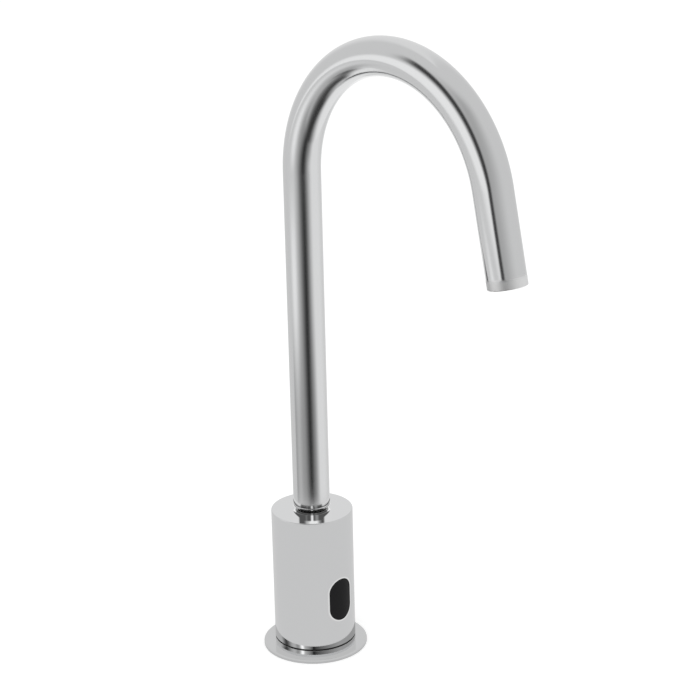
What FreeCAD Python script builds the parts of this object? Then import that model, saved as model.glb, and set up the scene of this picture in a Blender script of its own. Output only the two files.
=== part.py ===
"""Deck-mounted sensor tap with a swan-neck spout.

A round body stands on a thin deck flange and carries a bent tube that swivels on it. An oval window in the
front of the body covers an infrared eye, which opens a small solenoid valve inside the body. Water comes up
through the inlet connector, passes the diaphragm of the valve and rises through the hollow spout to the
aerator at its end.

Frame: millimetres, +Z up, origin on the body's axis in the plane of the deck. The window and the spout face
-Y, so +X is on the right of someone who looks along +Y at the front of the tap.
"""

import FreeCAD
import Part
import math
import operator
import os
import Sketcher

# Driving dimensions. Each is set by itself; everything else is worked out from these.
DIMENSIONS = {
    # deck flange, with the short plinth and the spigot that the body screws on
    "flange_od": 63.0,
    "flange_thick": 2.2,
    "flange_edge": 0.8,
    "plinth_height": 3.0,
    "spigot_height": 4.5,
    # seal line between plinth and body
    "body_seal_thick": 0.7,
    "body_seal_setback": 0.3,
    # ports in the underside
    "stud_radius": 3.4,
    "stud_offset": 10.5,
    "port_offset_x": 9.0,
    "port_offset_y": 3.0,
    "cable_bore": 2.2,
    "grommet_width": 8.0,
    "grommet_lip": 1.2,
    "port_setback": 0.3,
    # body
    "body_od": 49.0,
    "body_top": 88.5,
    "body_wall": 2.0,
    "body_edge": 0.5,
    "top_block": 20.5,
    # spout tube
    "tube_od": 22.0,
    "tube_wall": 1.2,
    "tube_edge": 0.4,
    "stem_top": 297.0,
    "bend_radius": 75.5,
    "bend_angle": 168.0,
    "outlet_length": 51.5,
    # swivel joint at the foot of the spout
    "collar_height": 3.4,
    "collar_overhang": 0.2,
    "tube_plug_height": 12.0,
    "nipple_radius": 8.0,
    "nipple_length": 14.5,
    "nipple_bore": 4.6,
    "spout_seal_height": 2.0,
    "spout_seal_bore": 5.2,
    "slide_ring_thick": 0.5,
    "slide_ring_overhang": 0.5,
    "stop_below_top": 7.0,
    "stop_screw_radius": 2.5,
    "stop_nose_radius": 1.75,
    "stop_groove_depth": 2.1,
    "stop_shoulder_gap": 0.8,
    "stop_play": 0.2,
    "swivel_half_range": 60.0,
    # sensor eye
    "window_width": 16.5,
    "window_height": 26.8,
    "window_centre": 36.0,
    "lens_setback": 0.25,
    "lens_thick": 1.4,
    "lens_lip": 1.8,
    "eye_back": 11.0,
    "eye_wall": 1.6,
    "eye_floor": 2.6,
    "board_thick": 1.2,
    "diode_radius": 2.4,
    "diode_to_lens": 1.8,
    "diode_spacing": 13.0,
    "divider_thick": 1.0,
    "led_size": 1.6,
    "rail_width": 2.0,
    "clip_thick": 0.8,
    # valve
    "valve_y": 2.5,
    "valve_z": 44.0,
    "valve_side": 21.0,
    "valve_back": 15.0,
    "valve_front": 2.0,
    "duct_size": 4.4,
    "arm_height": 7.0,
    "arm_reach": 9.0,
    "riser_bore": 4.0,
    "diaphragm_radius": 9.4,
    "diaphragm_thick": 1.0,
    "bonnet_thick": 4.5,
    "bonnet_margin": 0.3,
    "guide_radius": 4.2,
    "guide_bore": 3.5,
    "guide_end": 1.5,
    "plunger_length": 12.0,
    "spring_radius": 3.0,
    "spring_length": 6.0,
    "coil_side": 17.0,
    "coil_length": 12.6,
    "yoke_thick": 1.2,
    "yoke_width": 12.0,
    # inlet
    "connector_flats": 12.0,
    "connector_flange": 15.0,
    "connector_flange_thick": 2.0,
    "inlet_thread": 4.5,
    "inlet_thread_depth": 13.5,
    "inlet_bore": 2.4,
    "neck_radius": 4.5,
    "neck_length": 5.5,
    "neck_gap": 0.5,
    "screen_thick": 0.8,
    "screen_step": 0.3,
    # aerator
    "aerator_setback": 1.2,
    "aerator_length": 9.0,
    "aerator_wall": 1.3,
    "grid_thick": 2.0,
    "cell_size": 2.2,
    "cell_gap": 0.6,
    "regulator_thick": 2.0,
    # running and assembly gaps, radial
    "running_gap": 0.08,
    "fit_gap": 0.1,
}

doc = FreeCAD.newDocument("SensorTap")
sheet = doc.addObject("Spreadsheet::Sheet", "Sizes")


class Size:
    """A length or an angle that knows its number and the sheet formula that it comes from."""

    def __init__(self, value, formula):
        self.value = float(value)
        self.formula = formula

    def __add__(self, other):
        return combine(self, "+", other)

    def __radd__(self, other):
        return combine(other, "+", self)

    def __sub__(self, other):
        return combine(self, "-", other)

    def __rsub__(self, other):
        return combine(other, "-", self)

    def __mul__(self, other):
        return combine(self, "*", other)

    def __rmul__(self, other):
        return combine(other, "*", self)

    def __truediv__(self, other):
        return combine(self, "/", other)

    def __neg__(self):
        return combine(-1, "*", self)


OPERATIONS = {"+": operator.add, "-": operator.sub, "*": operator.mul, "/": operator.truediv}


def as_size(number):
    return number if isinstance(number, Size) else Size(number, f"{float(number):.6f}")


def combine(left, sign, right):
    left, right = as_size(left), as_size(right)
    number = OPERATIONS[sign](left.value, right.value)
    return Size(number, f"({left.formula} {sign} {right.formula})")


def sine(angle):
    return Size(math.sin(math.radians(angle.value)), f"sin({angle.formula} * 1 deg)")


def cosine(angle):
    return Size(math.cos(math.radians(angle.value)), f"cos({angle.formula} * 1 deg)")


class Sizes:
    """The sheet's rows, read by name."""


S = Sizes()
for row, (name, value) in enumerate(DIMENSIONS.items(), start=1):
    sheet.set(f"A{row}", name)
    sheet.set(f"B{row}", str(value))
    sheet.setAlias(f"B{row}", name)
    setattr(S, name, Size(value, f"Sizes.{name}"))
doc.recompute()


# ---- small helpers --------------------------------------------------------------------------------------

PARTS = []

TURNS = {
    "Z": FreeCAD.Rotation(),
    "X": FreeCAD.Rotation(FreeCAD.Vector(0, 1, 0), 90),
    "Y": FreeCAD.Rotation(FreeCAD.Vector(1, 0, 0), -90),
    "-Y": FreeCAD.Rotation(FreeCAD.Vector(1, 0, 0), 90),
}


def bind(thing, **sizes):
    """Ties each property to its size in the sheet."""
    for prop, size in sizes.items():
        thing.setExpression(prop, as_size(size).formula)
    return thing


def place(thing, at=(0, 0, 0), along="Z"):
    """Turns a primitive so that its axis runs along the given direction, and ties its place to the sheet."""
    at = [as_size(v) for v in at]
    thing.Placement = FreeCAD.Placement(FreeCAD.Vector(*[v.value for v in at]), TURNS[along])
    for letter, v in zip("xyz", at):
        thing.setExpression(f"Placement.Base.{letter}", v.formula)
    return thing


def cylinder(name, radius, length, at=(0, 0, 0), along="Z"):
    made = bind(doc.addObject("Part::Cylinder", name), Radius=radius, Height=length)
    return place(made, at, along)


def hexagon(name, flats, length, at=(0, 0, 0), along="Z"):
    """Hexagonal bar, sized across its flats."""
    made = doc.addObject("Part::Prism", name)
    made.Polygon = 6
    bind(made, Circumradius=flats / math.sqrt(3), Height=length)
    return place(made, at, along)


def block(name, low, high):
    """A box from its low corner to its high corner."""
    size = [as_size(b) - a for a, b in zip(low, high)]
    made = bind(doc.addObject("Part::Box", name), Length=size[0], Width=size[1], Height=size[2])
    return place(made, low)


def fuse(name, *shapes):
    made = doc.addObject("Part::MultiFuse", name)
    made.Shapes = list(shapes)
    made.Refine = True
    return made


def cut(name, base, *tools):
    made = doc.addObject("Part::Cut", name)
    made.Base = base
    made.Tool = tools[0] if len(tools) == 1 else fuse(f"{name}_tools", *tools)
    made.Refine = True
    return made


def common(name, a, b):
    made = doc.addObject("Part::Common", name)
    made.Base, made.Tool = a, b
    made.Refine = True
    return made


def ring(name, outer, inner, length, at=(0, 0, 0), along="Z"):
    return cut(
        name,
        cylinder(f"{name}_outer", outer, length, at, along),
        cylinder(f"{name}_inner", inner, length, at, along),
    )


def part(thing, label):
    """Marks an object as a finished piece of the tap."""
    thing.Label = label
    PARTS.append(thing)
    return thing


def new_body(name):
    return doc.addObject("PartDesign::Body", name)


def origin_feature(body, role):
    return next(f for f in body.Origin.OriginFeatures if f.Role == role)


def new_sketch(body, name, role="XZ_Plane", offset=0):
    sketch = body.newObject("Sketcher::SketchObject", name)
    sketch.AttachmentSupport = (origin_feature(body, role), [""])
    sketch.MapMode = "FlatFace"
    offset = as_size(offset)
    sketch.AttachmentOffset = FreeCAD.Placement(FreeCAD.Vector(0, 0, offset.value), FreeCAD.Rotation())
    sketch.setExpression("AttachmentOffset.Base.z", offset.formula)
    return sketch


def limit(sketch, kind, *where, size):
    """Adds one driving constraint and ties it to the sheet."""
    size = as_size(size)
    number = sketch.addConstraint(Sketcher.Constraint(kind, *where, size.value))
    sketch.setExpression(f"Constraints[{number}]", size.formula)


def pin_point(sketch, geometry, end, x, y):
    """Fixes a point of the sketch at x, y. A zero puts it on the axis."""
    for kind, axis, size in (("DistanceX", -2, as_size(x)), ("DistanceY", -1, as_size(y))):
        if size.value == 0:
            sketch.addConstraint(Sketcher.Constraint("PointOnObject", geometry, end, axis))
        else:
            limit(sketch, kind, -1, 1, geometry, end, size=size)


def polygon(sketch, corners):
    """Closed outline with every corner tied to the sheet."""
    first = sketch.GeometryCount
    points = [FreeCAD.Vector(as_size(x).value, as_size(y).value, 0) for x, y in corners]
    count = len(points)
    for i in range(count):
        sketch.addGeometry(Part.LineSegment(points[i], points[(i + 1) % count]), False)
    for i in range(count):
        following = first + (i + 1) % count
        sketch.addConstraint(Sketcher.Constraint("Coincident", first + i, 2, following, 1))
        pin_point(sketch, first + i, 1, *corners[i])


def rectangle(sketch, low, high):
    polygon(sketch, [low, (high[0], low[1]), high, (low[0], high[1])])


def circle(sketch, radius, x=0, y=0):
    x, y, radius = as_size(x), as_size(y), as_size(radius)
    centre = FreeCAD.Vector(x.value, y.value, 0)
    number = sketch.addGeometry(Part.Circle(centre, FreeCAD.Vector(0, 0, 1), radius.value), False)
    if x.value == 0 and y.value == 0:
        sketch.addConstraint(Sketcher.Constraint("Coincident", number, 3, -1, 1))
    else:
        pin_point(sketch, number, 3, x, y)
    limit(sketch, "Radius", number, size=radius)


def stadium(sketch, width, height, centre):
    """Upright slot outline: two half circles joined by straight sides."""
    radius, half = width / 2, (height - width) / 2
    top, bottom = centre + half, centre - half
    up = FreeCAD.Vector(0, 0, 1)
    right, left = radius.value, -radius.value
    upper = Part.Circle(FreeCAD.Vector(0, top.value, 0), up, right)
    lower = Part.Circle(FreeCAD.Vector(0, bottom.value, 0), up, right)
    outline = [
        Part.ArcOfCircle(upper, 0, math.pi),
        Part.LineSegment(FreeCAD.Vector(left, top.value, 0), FreeCAD.Vector(left, bottom.value, 0)),
        Part.ArcOfCircle(lower, math.pi, 2 * math.pi),
        Part.LineSegment(FreeCAD.Vector(right, bottom.value, 0), FreeCAD.Vector(right, top.value, 0)),
    ]
    over, near, under, far = (sketch.addGeometry(piece, False) for piece in outline)
    for a, b in ((over, near), (near, under), (under, far), (far, over)):
        sketch.addConstraint(Sketcher.Constraint("Tangent", a, 2, b, 1))
    for arc, middle in ((over, top), (under, bottom)):
        sketch.addConstraint(Sketcher.Constraint("PointOnObject", arc, 3, -2))
        limit(sketch, "DistanceY", -1, 1, arc, 3, size=middle)
    sketch.addConstraint(Sketcher.Constraint("Equal", over, under))
    limit(sketch, "Radius", over, size=radius)


def feature(body, kind, name, profile, **properties):
    made = body.newObject(f"PartDesign::{kind}", name)
    made.Profile = profile
    for prop, value in properties.items():
        if isinstance(value, Size):
            made.setExpression(prop, value.formula)
        else:
            setattr(made, prop, value)
    profile.Visibility = False
    body.Tip = made
    return made


def turned(name, corners):
    """A body turned about Z from its half section, given as radius and height of each corner."""
    body = new_body(name)
    section = new_sketch(body, f"{name}_section")
    polygon(section, corners)
    feature(body, "Revolution", f"{name}_turned", section, ReferenceAxis=(section, ["V_Axis"]), Angle=360.0)
    return body


def round_edges(thing, radius, centre):
    """Names of the circular edges of that radius about that centre."""
    centre = FreeCAD.Vector(*[as_size(v).value for v in centre])
    return [
        f"Edge{number}" for number, edge in enumerate(thing.Shape.Edges, start=1)
        if isinstance(edge.Curve, Part.Circle)
        and abs(edge.Curve.Radius - radius.value) < 1e-4
        and (edge.Curve.Center - centre).Length < 1e-3
    ]


def bevel(body, name, size, radius, centre):
    """Breaks a round edge of the body."""
    doc.recompute()
    base = body.Tip
    made = body.newObject("PartDesign::Chamfer", name)
    made.Base = (base, round_edges(base, radius, centre))
    made.setExpression("Size", size.formula)
    body.Tip = made
    return made


# ---- shared places, worked out from the sizes -------------------------------------------------------------

body_radius = S.body_od / 2
bore_radius = body_radius - S.body_wall
spigot_radius = bore_radius - S.fit_gap
plinth_top = S.flange_thick + S.plinth_height
body_bottom = plinth_top + S.body_seal_thick
base_top = plinth_top + S.spigot_height
block_bottom = S.body_top - S.top_block
tube_radius = S.tube_od / 2
tube_bore = tube_radius - S.tube_wall
collar_bottom = S.body_top + S.slide_ring_thick
tube_bottom = collar_bottom + S.collar_height
nipple_bottom = collar_bottom - S.nipple_length
socket_radius = S.nipple_radius + S.running_gap
stop_z = S.body_top - S.stop_below_top
port_x, port_y = -S.port_offset_x, -S.port_offset_y


# ---- base -----------------------------------------------------------------------------------------------

def make_base_flange():
    """Thin round flange, plinth and spigot, turned in one, with the stud thread and the two ports."""
    flange_radius = S.flange_od / 2
    body = turned("base_flange", [
        (0, 0),
        (flange_radius, 0),
        (flange_radius, S.flange_thick),
        (body_radius, S.flange_thick),
        (body_radius, plinth_top),
        (spigot_radius, plinth_top),
        (spigot_radius, base_top),
        (0, base_top),
    ])
    stud = new_sketch(body, "stud_layout", "XY_Plane", base_top)
    circle(stud, S.stud_radius, 0, S.stud_offset)
    feature(body, "Pocket", "stud_thread", stud, Type="ThroughAll")
    # six-sided hole, so that the connector can't turn when a hose is tightened on it
    inlet = new_sketch(body, "inlet_layout", "XY_Plane", base_top)
    corner = (S.connector_flats + S.fit_gap * 2) / math.sqrt(3)
    polygon(inlet, [
        (port_x + corner * math.cos(math.pi / 3 * k), port_y + corner * math.sin(math.pi / 3 * k))
        for k in range(6)
    ])
    feature(body, "Pocket", "inlet_hole", inlet, Type="ThroughAll")
    cable = new_sketch(body, "cable_layout", "XY_Plane", base_top)
    half = S.grommet_width / 2 + S.fit_gap
    rectangle(cable, (S.port_offset_x - half, port_y - half), (S.port_offset_x + half, port_y + half))
    feature(body, "Pocket", "cable_hole", cable, Type="ThroughAll")
    bevel(body, "flange_rim", S.flange_edge, flange_radius, (0, 0, S.flange_thick))
    part(body, "base_flange")


def make_body_seal():
    """Black seal line between the plinth and the body."""
    seal_radius = body_radius - S.body_seal_setback
    seal = turned("body_seal", [
        (spigot_radius + S.fit_gap, plinth_top),
        (seal_radius, plinth_top),
        (seal_radius, body_bottom),
        (spigot_radius + S.fit_gap, body_bottom),
    ])
    part(seal, "body_seal")


def make_grommet():
    """Rubber plug that closes the cable hole, with a lip on the base and a hole for the cable."""
    low = S.port_setback
    half = S.grommet_width / 2
    wide = half + S.grommet_lip
    x, y = S.port_offset_x, port_y
    plug = block("grommet_plug", (x - half, y - half, low), (x + half, y + half, base_top))
    lip = block("grommet_top", (x - wide, y - wide, base_top), (x + wide, y + wide, base_top + S.grommet_lip))
    hole = cylinder("grommet_hole", S.cable_bore, base_top + S.grommet_lip, (x, y, 0))
    part(cut("cable_grommet", fuse("grommet_blank", plug, lip), hole), "cable_grommet")


# ---- body -----------------------------------------------------------------------------------------------

lip_half_width = S.window_width / 2 + S.lens_lip
lip_half_height = S.window_height / 2 + S.lens_lip
eye_low = S.window_centre - lip_half_height
eye_high = S.window_centre + lip_half_height


def make_body_shell():
    """Turned body: side wall and thick top with the spout's socket, its window and the rails for the eye."""
    body = turned("body_shell", [
        (bore_radius, body_bottom),
        (body_radius, body_bottom),
        (body_radius, S.body_top),
        (socket_radius, S.body_top),
        (socket_radius, block_bottom),
        (bore_radius, block_bottom),
    ])
    window = new_sketch(body, "window_outline")
    stadium(window, S.window_width, S.window_height, S.window_centre)
    feature(body, "Pocket", "window", window, Length=S.body_od, Reversed=True)
    rails = new_sketch(body, "rail_layout", "XY_Plane", eye_low)
    near = lip_half_width + S.fit_gap
    for low, high in ((near, near + S.rail_width), (-near - S.rail_width, -near)):
        rectangle(rails, (low, -bore_radius + S.body_wall), (high, -S.eye_back + S.clip_thick))
    feature(body, "Pad", "eye_rails", rails, Length=eye_high - eye_low)
    thread = new_sketch(body, "stop_thread_outline")
    circle(thread, S.stop_screw_radius, 0, stop_z)
    feature(body, "Pocket", "stop_thread", thread, Length=S.body_od)
    bevel(body, "top_rim", S.body_edge, body_radius, (0, 0, S.body_top))
    part(body, "body_shell")


def make_stop_screw():
    """Grub screw in the body's back, whose nose in the nipple's groove holds the spout and limits its turn."""
    nose_tip = S.nipple_radius - S.stop_groove_depth + S.stop_play
    shoulder = socket_radius + S.stop_shoulder_gap
    outer_end = body_radius - S.body_edge
    rod_radius = S.stop_screw_radius - S.fit_gap / 2
    socket_floor = outer_end - S.stop_screw_radius
    rod = cylinder("stop_rod", rod_radius, outer_end - shoulder, (0, shoulder, stop_z), "Y")
    nose = cylinder("stop_nose", S.stop_nose_radius, shoulder - nose_tip, (0, nose_tip, stop_z), "Y")
    socket = hexagon("stop_socket", S.stop_screw_radius, S.stop_screw_radius, (0, socket_floor, stop_z), "Y")
    part(cut("stop_screw", fuse("stop_screw_blank", rod, nose), socket), "stop_screw")


# ---- spout ----------------------------------------------------------------------------------------------

def make_spout_adapter():
    """Turned foot of the spout: plug in the tube, collar on the body and nipple down in the socket."""
    collar_radius = tube_radius + S.collar_overhang
    plug_radius = tube_bore - S.fit_gap
    plug_top = tube_bottom + S.tube_plug_height
    body = turned("spout_adapter", [
        (S.nipple_bore, nipple_bottom),
        (S.nipple_radius, nipple_bottom),
        (S.nipple_radius, collar_bottom),
        (collar_radius, collar_bottom),
        (collar_radius, tube_bottom),
        (plug_radius, tube_bottom),
        (plug_radius, plug_top),
        (S.nipple_bore, plug_top),
    ])
    # the stop screw's groove goes part of the way round; its sketch is turned so that the cut ends up
    # centred on the back of the tap
    floor = S.nipple_radius - S.stop_groove_depth
    clear = S.nipple_radius + S.stop_groove_depth
    half_height = S.stop_nose_radius + S.stop_play
    nose_angle = math.degrees(math.asin((S.stop_nose_radius.value + S.fit_gap.value) / floor.value))
    sweep = 2 * (S.swivel_half_range.value + nose_angle)
    slot = new_sketch(body, "stop_groove_section")
    rectangle(slot, (floor, stop_z - half_height), (clear, stop_z + half_height))
    slot.AttachmentOffset = FreeCAD.Placement(
        FreeCAD.Vector(), FreeCAD.Rotation(FreeCAD.Vector(0, 1, 0), 90 - sweep / 2)
    )
    feature(body, "Groove", "stop_groove", slot, ReferenceAxis=(slot, ["V_Axis"]), Angle=sweep)
    part(body, "spout_adapter")


def make_spout_rings():
    """Sealing ring below the nipple and the dark slide ring that the collar turns on."""
    seal_top = nipple_bottom - S.running_gap
    seal = ring(
        "spout_seal", S.nipple_radius, S.spout_seal_bore, S.spout_seal_height,
        (0, 0, seal_top - S.spout_seal_height),
    )
    part(seal, "spout_seal")
    slide_radius = tube_radius + S.slide_ring_overhang
    slide = ring("slide_ring", slide_radius, socket_radius, S.slide_ring_thick, (0, 0, S.body_top))
    part(slide, "slide_ring")


bend_end_y = S.bend_radius * (cosine(S.bend_angle) - 1)
bend_end_z = S.stem_top + S.bend_radius * sine(S.bend_angle)
outlet_y = bend_end_y - S.outlet_length * sine(S.bend_angle)
outlet_z = bend_end_z + S.outlet_length * cosine(S.bend_angle)


def make_spout_tube():
    """Swan neck: an upright stem, one round bend and a short straight outlet, swept as one hollow tube."""
    body = new_body("spout_tube")
    path = new_sketch(body, "neck_line", "YZ_Plane")
    foot = FreeCAD.Vector(0, tube_bottom.value, 0)
    shoulder = FreeCAD.Vector(0, S.stem_top.value, 0)
    bend_end = FreeCAD.Vector(bend_end_y.value, bend_end_z.value, 0)
    outlet = FreeCAD.Vector(outlet_y.value, outlet_z.value, 0)
    bend_centre = FreeCAD.Vector(-S.bend_radius.value, S.stem_top.value, 0)
    whole_bend = Part.Circle(bend_centre, FreeCAD.Vector(0, 0, 1), S.bend_radius.value)
    stem = path.addGeometry(Part.LineSegment(foot, shoulder), False)
    bend = path.addGeometry(Part.ArcOfCircle(whole_bend, 0, math.radians(S.bend_angle.value)), False)
    tail = path.addGeometry(Part.LineSegment(bend_end, outlet), False)
    path.addConstraint(Sketcher.Constraint("Tangent", stem, 2, bend, 1))
    path.addConstraint(Sketcher.Constraint("Tangent", bend, 2, tail, 1))
    pin_point(path, stem, 1, 0, tube_bottom)
    pin_point(path, stem, 2, 0, S.stem_top)
    limit(path, "Radius", bend, size=S.bend_radius)
    pin_point(path, tail, 2, outlet_y, outlet_z)
    wall = new_sketch(body, "neck_section", "XY_Plane", tube_bottom)
    circle(wall, tube_radius)
    circle(wall, tube_bore)
    feature(body, "AdditivePipe", "neck", wall, Spine=path)
    bevel(body, "outlet_rim", S.tube_edge, tube_radius, (0, outlet_y, outlet_z))
    part(body, "spout_tube")


# ---- aerator, built upright about Z and then laid in the end of the tube ------------------------------------

def lay_in_outlet(thing, depth):
    """Turns a piece's Z axis up the tube and puts its origin at that depth inside the tube's end."""
    lean = 180 - S.bend_angle
    thing.Placement = FreeCAD.Placement(
        FreeCAD.Vector(), FreeCAD.Rotation(FreeCAD.Vector(-1, 0, 0), lean.value)
    )
    base_y = outlet_y + depth * sine(S.bend_angle)
    base_z = outlet_z - depth * cosine(S.bend_angle)
    thing.setExpression("Placement.Rotation.Angle", lean.formula)
    thing.setExpression("Placement.Base.y", base_y.formula)
    thing.setExpression("Placement.Base.z", base_z.formula)
    return thing


aerator_radius = tube_bore - S.fit_gap
cup_bore = aerator_radius - S.aerator_wall


def make_aerator():
    """Screwed-in cup with a honeycomb outlet, the fine screen on the honeycomb and the flow regulator."""
    cup = doc.addObject("Part::Feature", "aerator_cup")
    outer = Part.makeCylinder(aerator_radius.value, S.aerator_length.value)
    hollow = Part.makeCylinder(cup_bore.value, S.aerator_length.value, FreeCAD.Vector(0, 0, S.grid_thick.value))
    cup.Shape = outer.cut(hollow).cut(Part.makeCompound(grid_cells()))
    part(lay_in_outlet(cup, S.aerator_setback), "aerator_cup")

    screen_radius = cup_bore - S.fit_gap
    screen = turned("aerator_screen", disc(screen_radius, S.screen_thick))
    part(lay_in_outlet(screen, S.aerator_setback + S.grid_thick), "aerator_screen")
    regulator = turned("flow_regulator", disc(aerator_radius, S.regulator_thick))
    part(lay_in_outlet(regulator, S.aerator_setback + S.aerator_length), "flow_regulator")


def disc(radius, thick):
    return [(0, 0), (radius, 0), (radius, thick), (0, thick)]


def grid_cells():
    """Hexagonal cells of the outlet grid, in rows, as far out as they fit."""
    pitch = S.cell_size.value + S.cell_gap.value
    row_pitch = pitch * math.sqrt(3) / 2
    corner = S.cell_size.value / math.sqrt(3)
    room = cup_bore.value - S.cell_gap.value - corner
    rows = int(room / row_pitch)
    columns = int(room / pitch) + 1
    depth = FreeCAD.Vector(0, 0, S.grid_thick.value * 3)
    cells = []
    for row in range(-rows, rows + 1):
        for column in range(-columns, columns + 1):
            x = pitch * (column + (row % 2) / 2)
            y = row_pitch * row
            if math.hypot(x, y) > room:
                continue
            turns = [math.pi / 3 * k for k in range(7)]
            points = [
                FreeCAD.Vector(x + corner * math.sin(a), y + corner * math.cos(a), -S.grid_thick.value)
                for a in turns
            ]
            cells.append(Part.Face(Part.makePolygon(points)).extrude(depth))
    return cells


# ---- sensor eye -----------------------------------------------------------------------------------------

lip_front = bore_radius - S.fit_gap
lens_back = lip_front - S.lens_thick
board_back = S.eye_back + S.eye_floor
board_front = board_back + S.board_thick
diode_front = lens_back - S.diode_to_lens


def wall_slice(name, outer, inner):
    """Tube about Z that bounds a piece lying along the body's wall."""
    return ring(name, outer, inner, S.body_top)


def eye_block(name, half_width, half_height, back, front):
    """Box centred on the window, from y = -front to y = -back."""
    low, high = S.window_centre - half_height, S.window_centre + half_height
    return block(name, (-half_width, -front, low), (half_width, -back, high))


def make_sensor():
    """Dark lens flush with the body, and behind it the eye's housing, board, diodes, divider and clip."""
    plug = new_body("lens_plug")
    outline = new_sketch(plug, "lens_outline")
    stadium(outline, S.window_width - S.fit_gap * 2, S.window_height - S.fit_gap * 2, S.window_centre)
    feature(plug, "Pad", "lens_pad", outline, Length=body_radius)
    face = body_radius - S.lens_setback
    plug = common("lens_plug_curved", plug, wall_slice("lens_plug_wall", face, lens_back))
    lip = eye_block("lens_lip", lip_half_width, lip_half_height, S.eye_back, body_radius)
    lip = common("lens_lip_curved", lip, wall_slice("lens_lip_wall", lip_front, lens_back))
    part(fuse("sensor_lens", plug, lip), "sensor_lens")

    case = eye_block("eye_case", lip_half_width, lip_half_height, S.eye_back, body_radius)
    case = common("eye_case_curved", case, cylinder("eye_case_wall", lens_back - S.fit_gap, S.body_top))
    pocket_width, pocket_height = lip_half_width - S.eye_wall, lip_half_height - S.eye_wall
    pocket = eye_block("eye_pocket", pocket_width, pocket_height, board_back, body_radius)
    part(cut("sensor_housing", case, pocket), "sensor_housing")

    gap = S.fit_gap
    board = eye_block("sensor_board", pocket_width - gap, pocket_height - gap, board_back, board_front)
    part(board, "sensor_board")
    for label, side in (("ir_emitter", 1), ("ir_receiver", -1)):
        height = S.window_centre + S.diode_spacing / 2 * side
        diode = cylinder(label, S.diode_radius, diode_front - board_front, (0, -board_front, height), "-Y")
        part(diode, label)
    half = S.divider_thick / 2
    divider = eye_block("eye_divider", S.diode_radius * 2, half, board_front, diode_front)
    part(divider, "eye_divider")
    led_low = S.window_centre - pocket_height + S.led_size
    led = block(
        "status_led",
        (-S.led_size / 2, -board_front - S.led_size / 2, led_low),
        (S.led_size / 2, -board_front, led_low + S.led_size),
    )
    part(led, "status_led")
    clip = eye_block("sensor_clip", lip_half_width, lip_half_height, S.eye_back - S.clip_thick, S.eye_back)
    part(clip, "sensor_clip")


# ---- valve: its axis lies along X ---------------------------------------------------------------------------

valve_half = S.valve_side / 2
valve_low = S.valve_z - valve_half
valve_high = S.valve_z + valve_half
seat_x = -S.valve_front - S.diaphragm_thick
bonnet_x = -S.valve_front
bonnet_end = bonnet_x + S.bonnet_thick
arm_top = valve_high + S.arm_height
coil_start = bonnet_end + S.yoke_thick
coil_end = coil_start + S.coil_length
bonnet_half = valve_half - S.bonnet_margin
plunger_start = bonnet_x + S.fit_gap
plunger_end = plunger_start + S.plunger_length
spring_end = plunger_end + S.spring_length


def along_valve(name, radius, start, end):
    """A rod on the valve's axis from x = start to x = end."""
    return cylinder(name, radius, end - start, (start, S.valve_y, S.valve_z), "X")


def make_valve_body():
    """Block with the inlet below, the diaphragm's recess facing +X and the outlet up through the top spigot."""
    back, duct = -S.valve_back, S.duct_size
    half = duct / 2
    spigot_top = nipple_bottom - S.running_gap - S.spout_seal_height
    main = block(
        "valve_main",
        (back, S.valve_y - valve_half, valve_low), (bonnet_x, S.valve_y + valve_half, valve_high),
    )
    arm = block("valve_arm", (back, -S.arm_reach, valve_high), (S.arm_reach, S.arm_reach, arm_top))
    spigot = cylinder("valve_spigot", S.nipple_radius, spigot_top - arm_top, (0, 0, arm_top))

    neck_hole = S.neck_length + S.neck_gap
    inlet_top = valve_low + neck_hole + duct
    riser_x = back + half
    duct_low = valve_high + S.arm_height / 2 - half
    tools = [
        along_valve("valve_recess", S.diaphragm_radius + S.fit_gap, seat_x, bonnet_x),
        cylinder("valve_inlet", S.neck_radius + S.fit_gap, neck_hole, (port_x, port_y, valve_low)),
        block(
            "valve_inlet_duct",
            (port_x - half, port_y - half, valve_low + neck_hole), (seat_x, port_y + half, inlet_top),
        ),
        block(
            "valve_outlet_duct",
            (riser_x, S.valve_y - half, S.valve_z - half), (seat_x, S.valve_y + half, S.valve_z + half),
        ),
        block(
            "valve_riser",
            (riser_x, S.valve_y - half, S.valve_z - half), (riser_x + duct, S.valve_y + half, duct_low),
        ),
        block(
            "valve_cross_duct",
            (riser_x, -half, duct_low), (half, S.valve_y + half, duct_low + duct),
        ),
        cylinder("valve_outlet", S.riser_bore, spigot_top - duct_low - half, (0, 0, duct_low + half)),
    ]
    part(cut("valve_body", fuse("valve_blank", main, arm, spigot), *tools), "valve_body")


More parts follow.
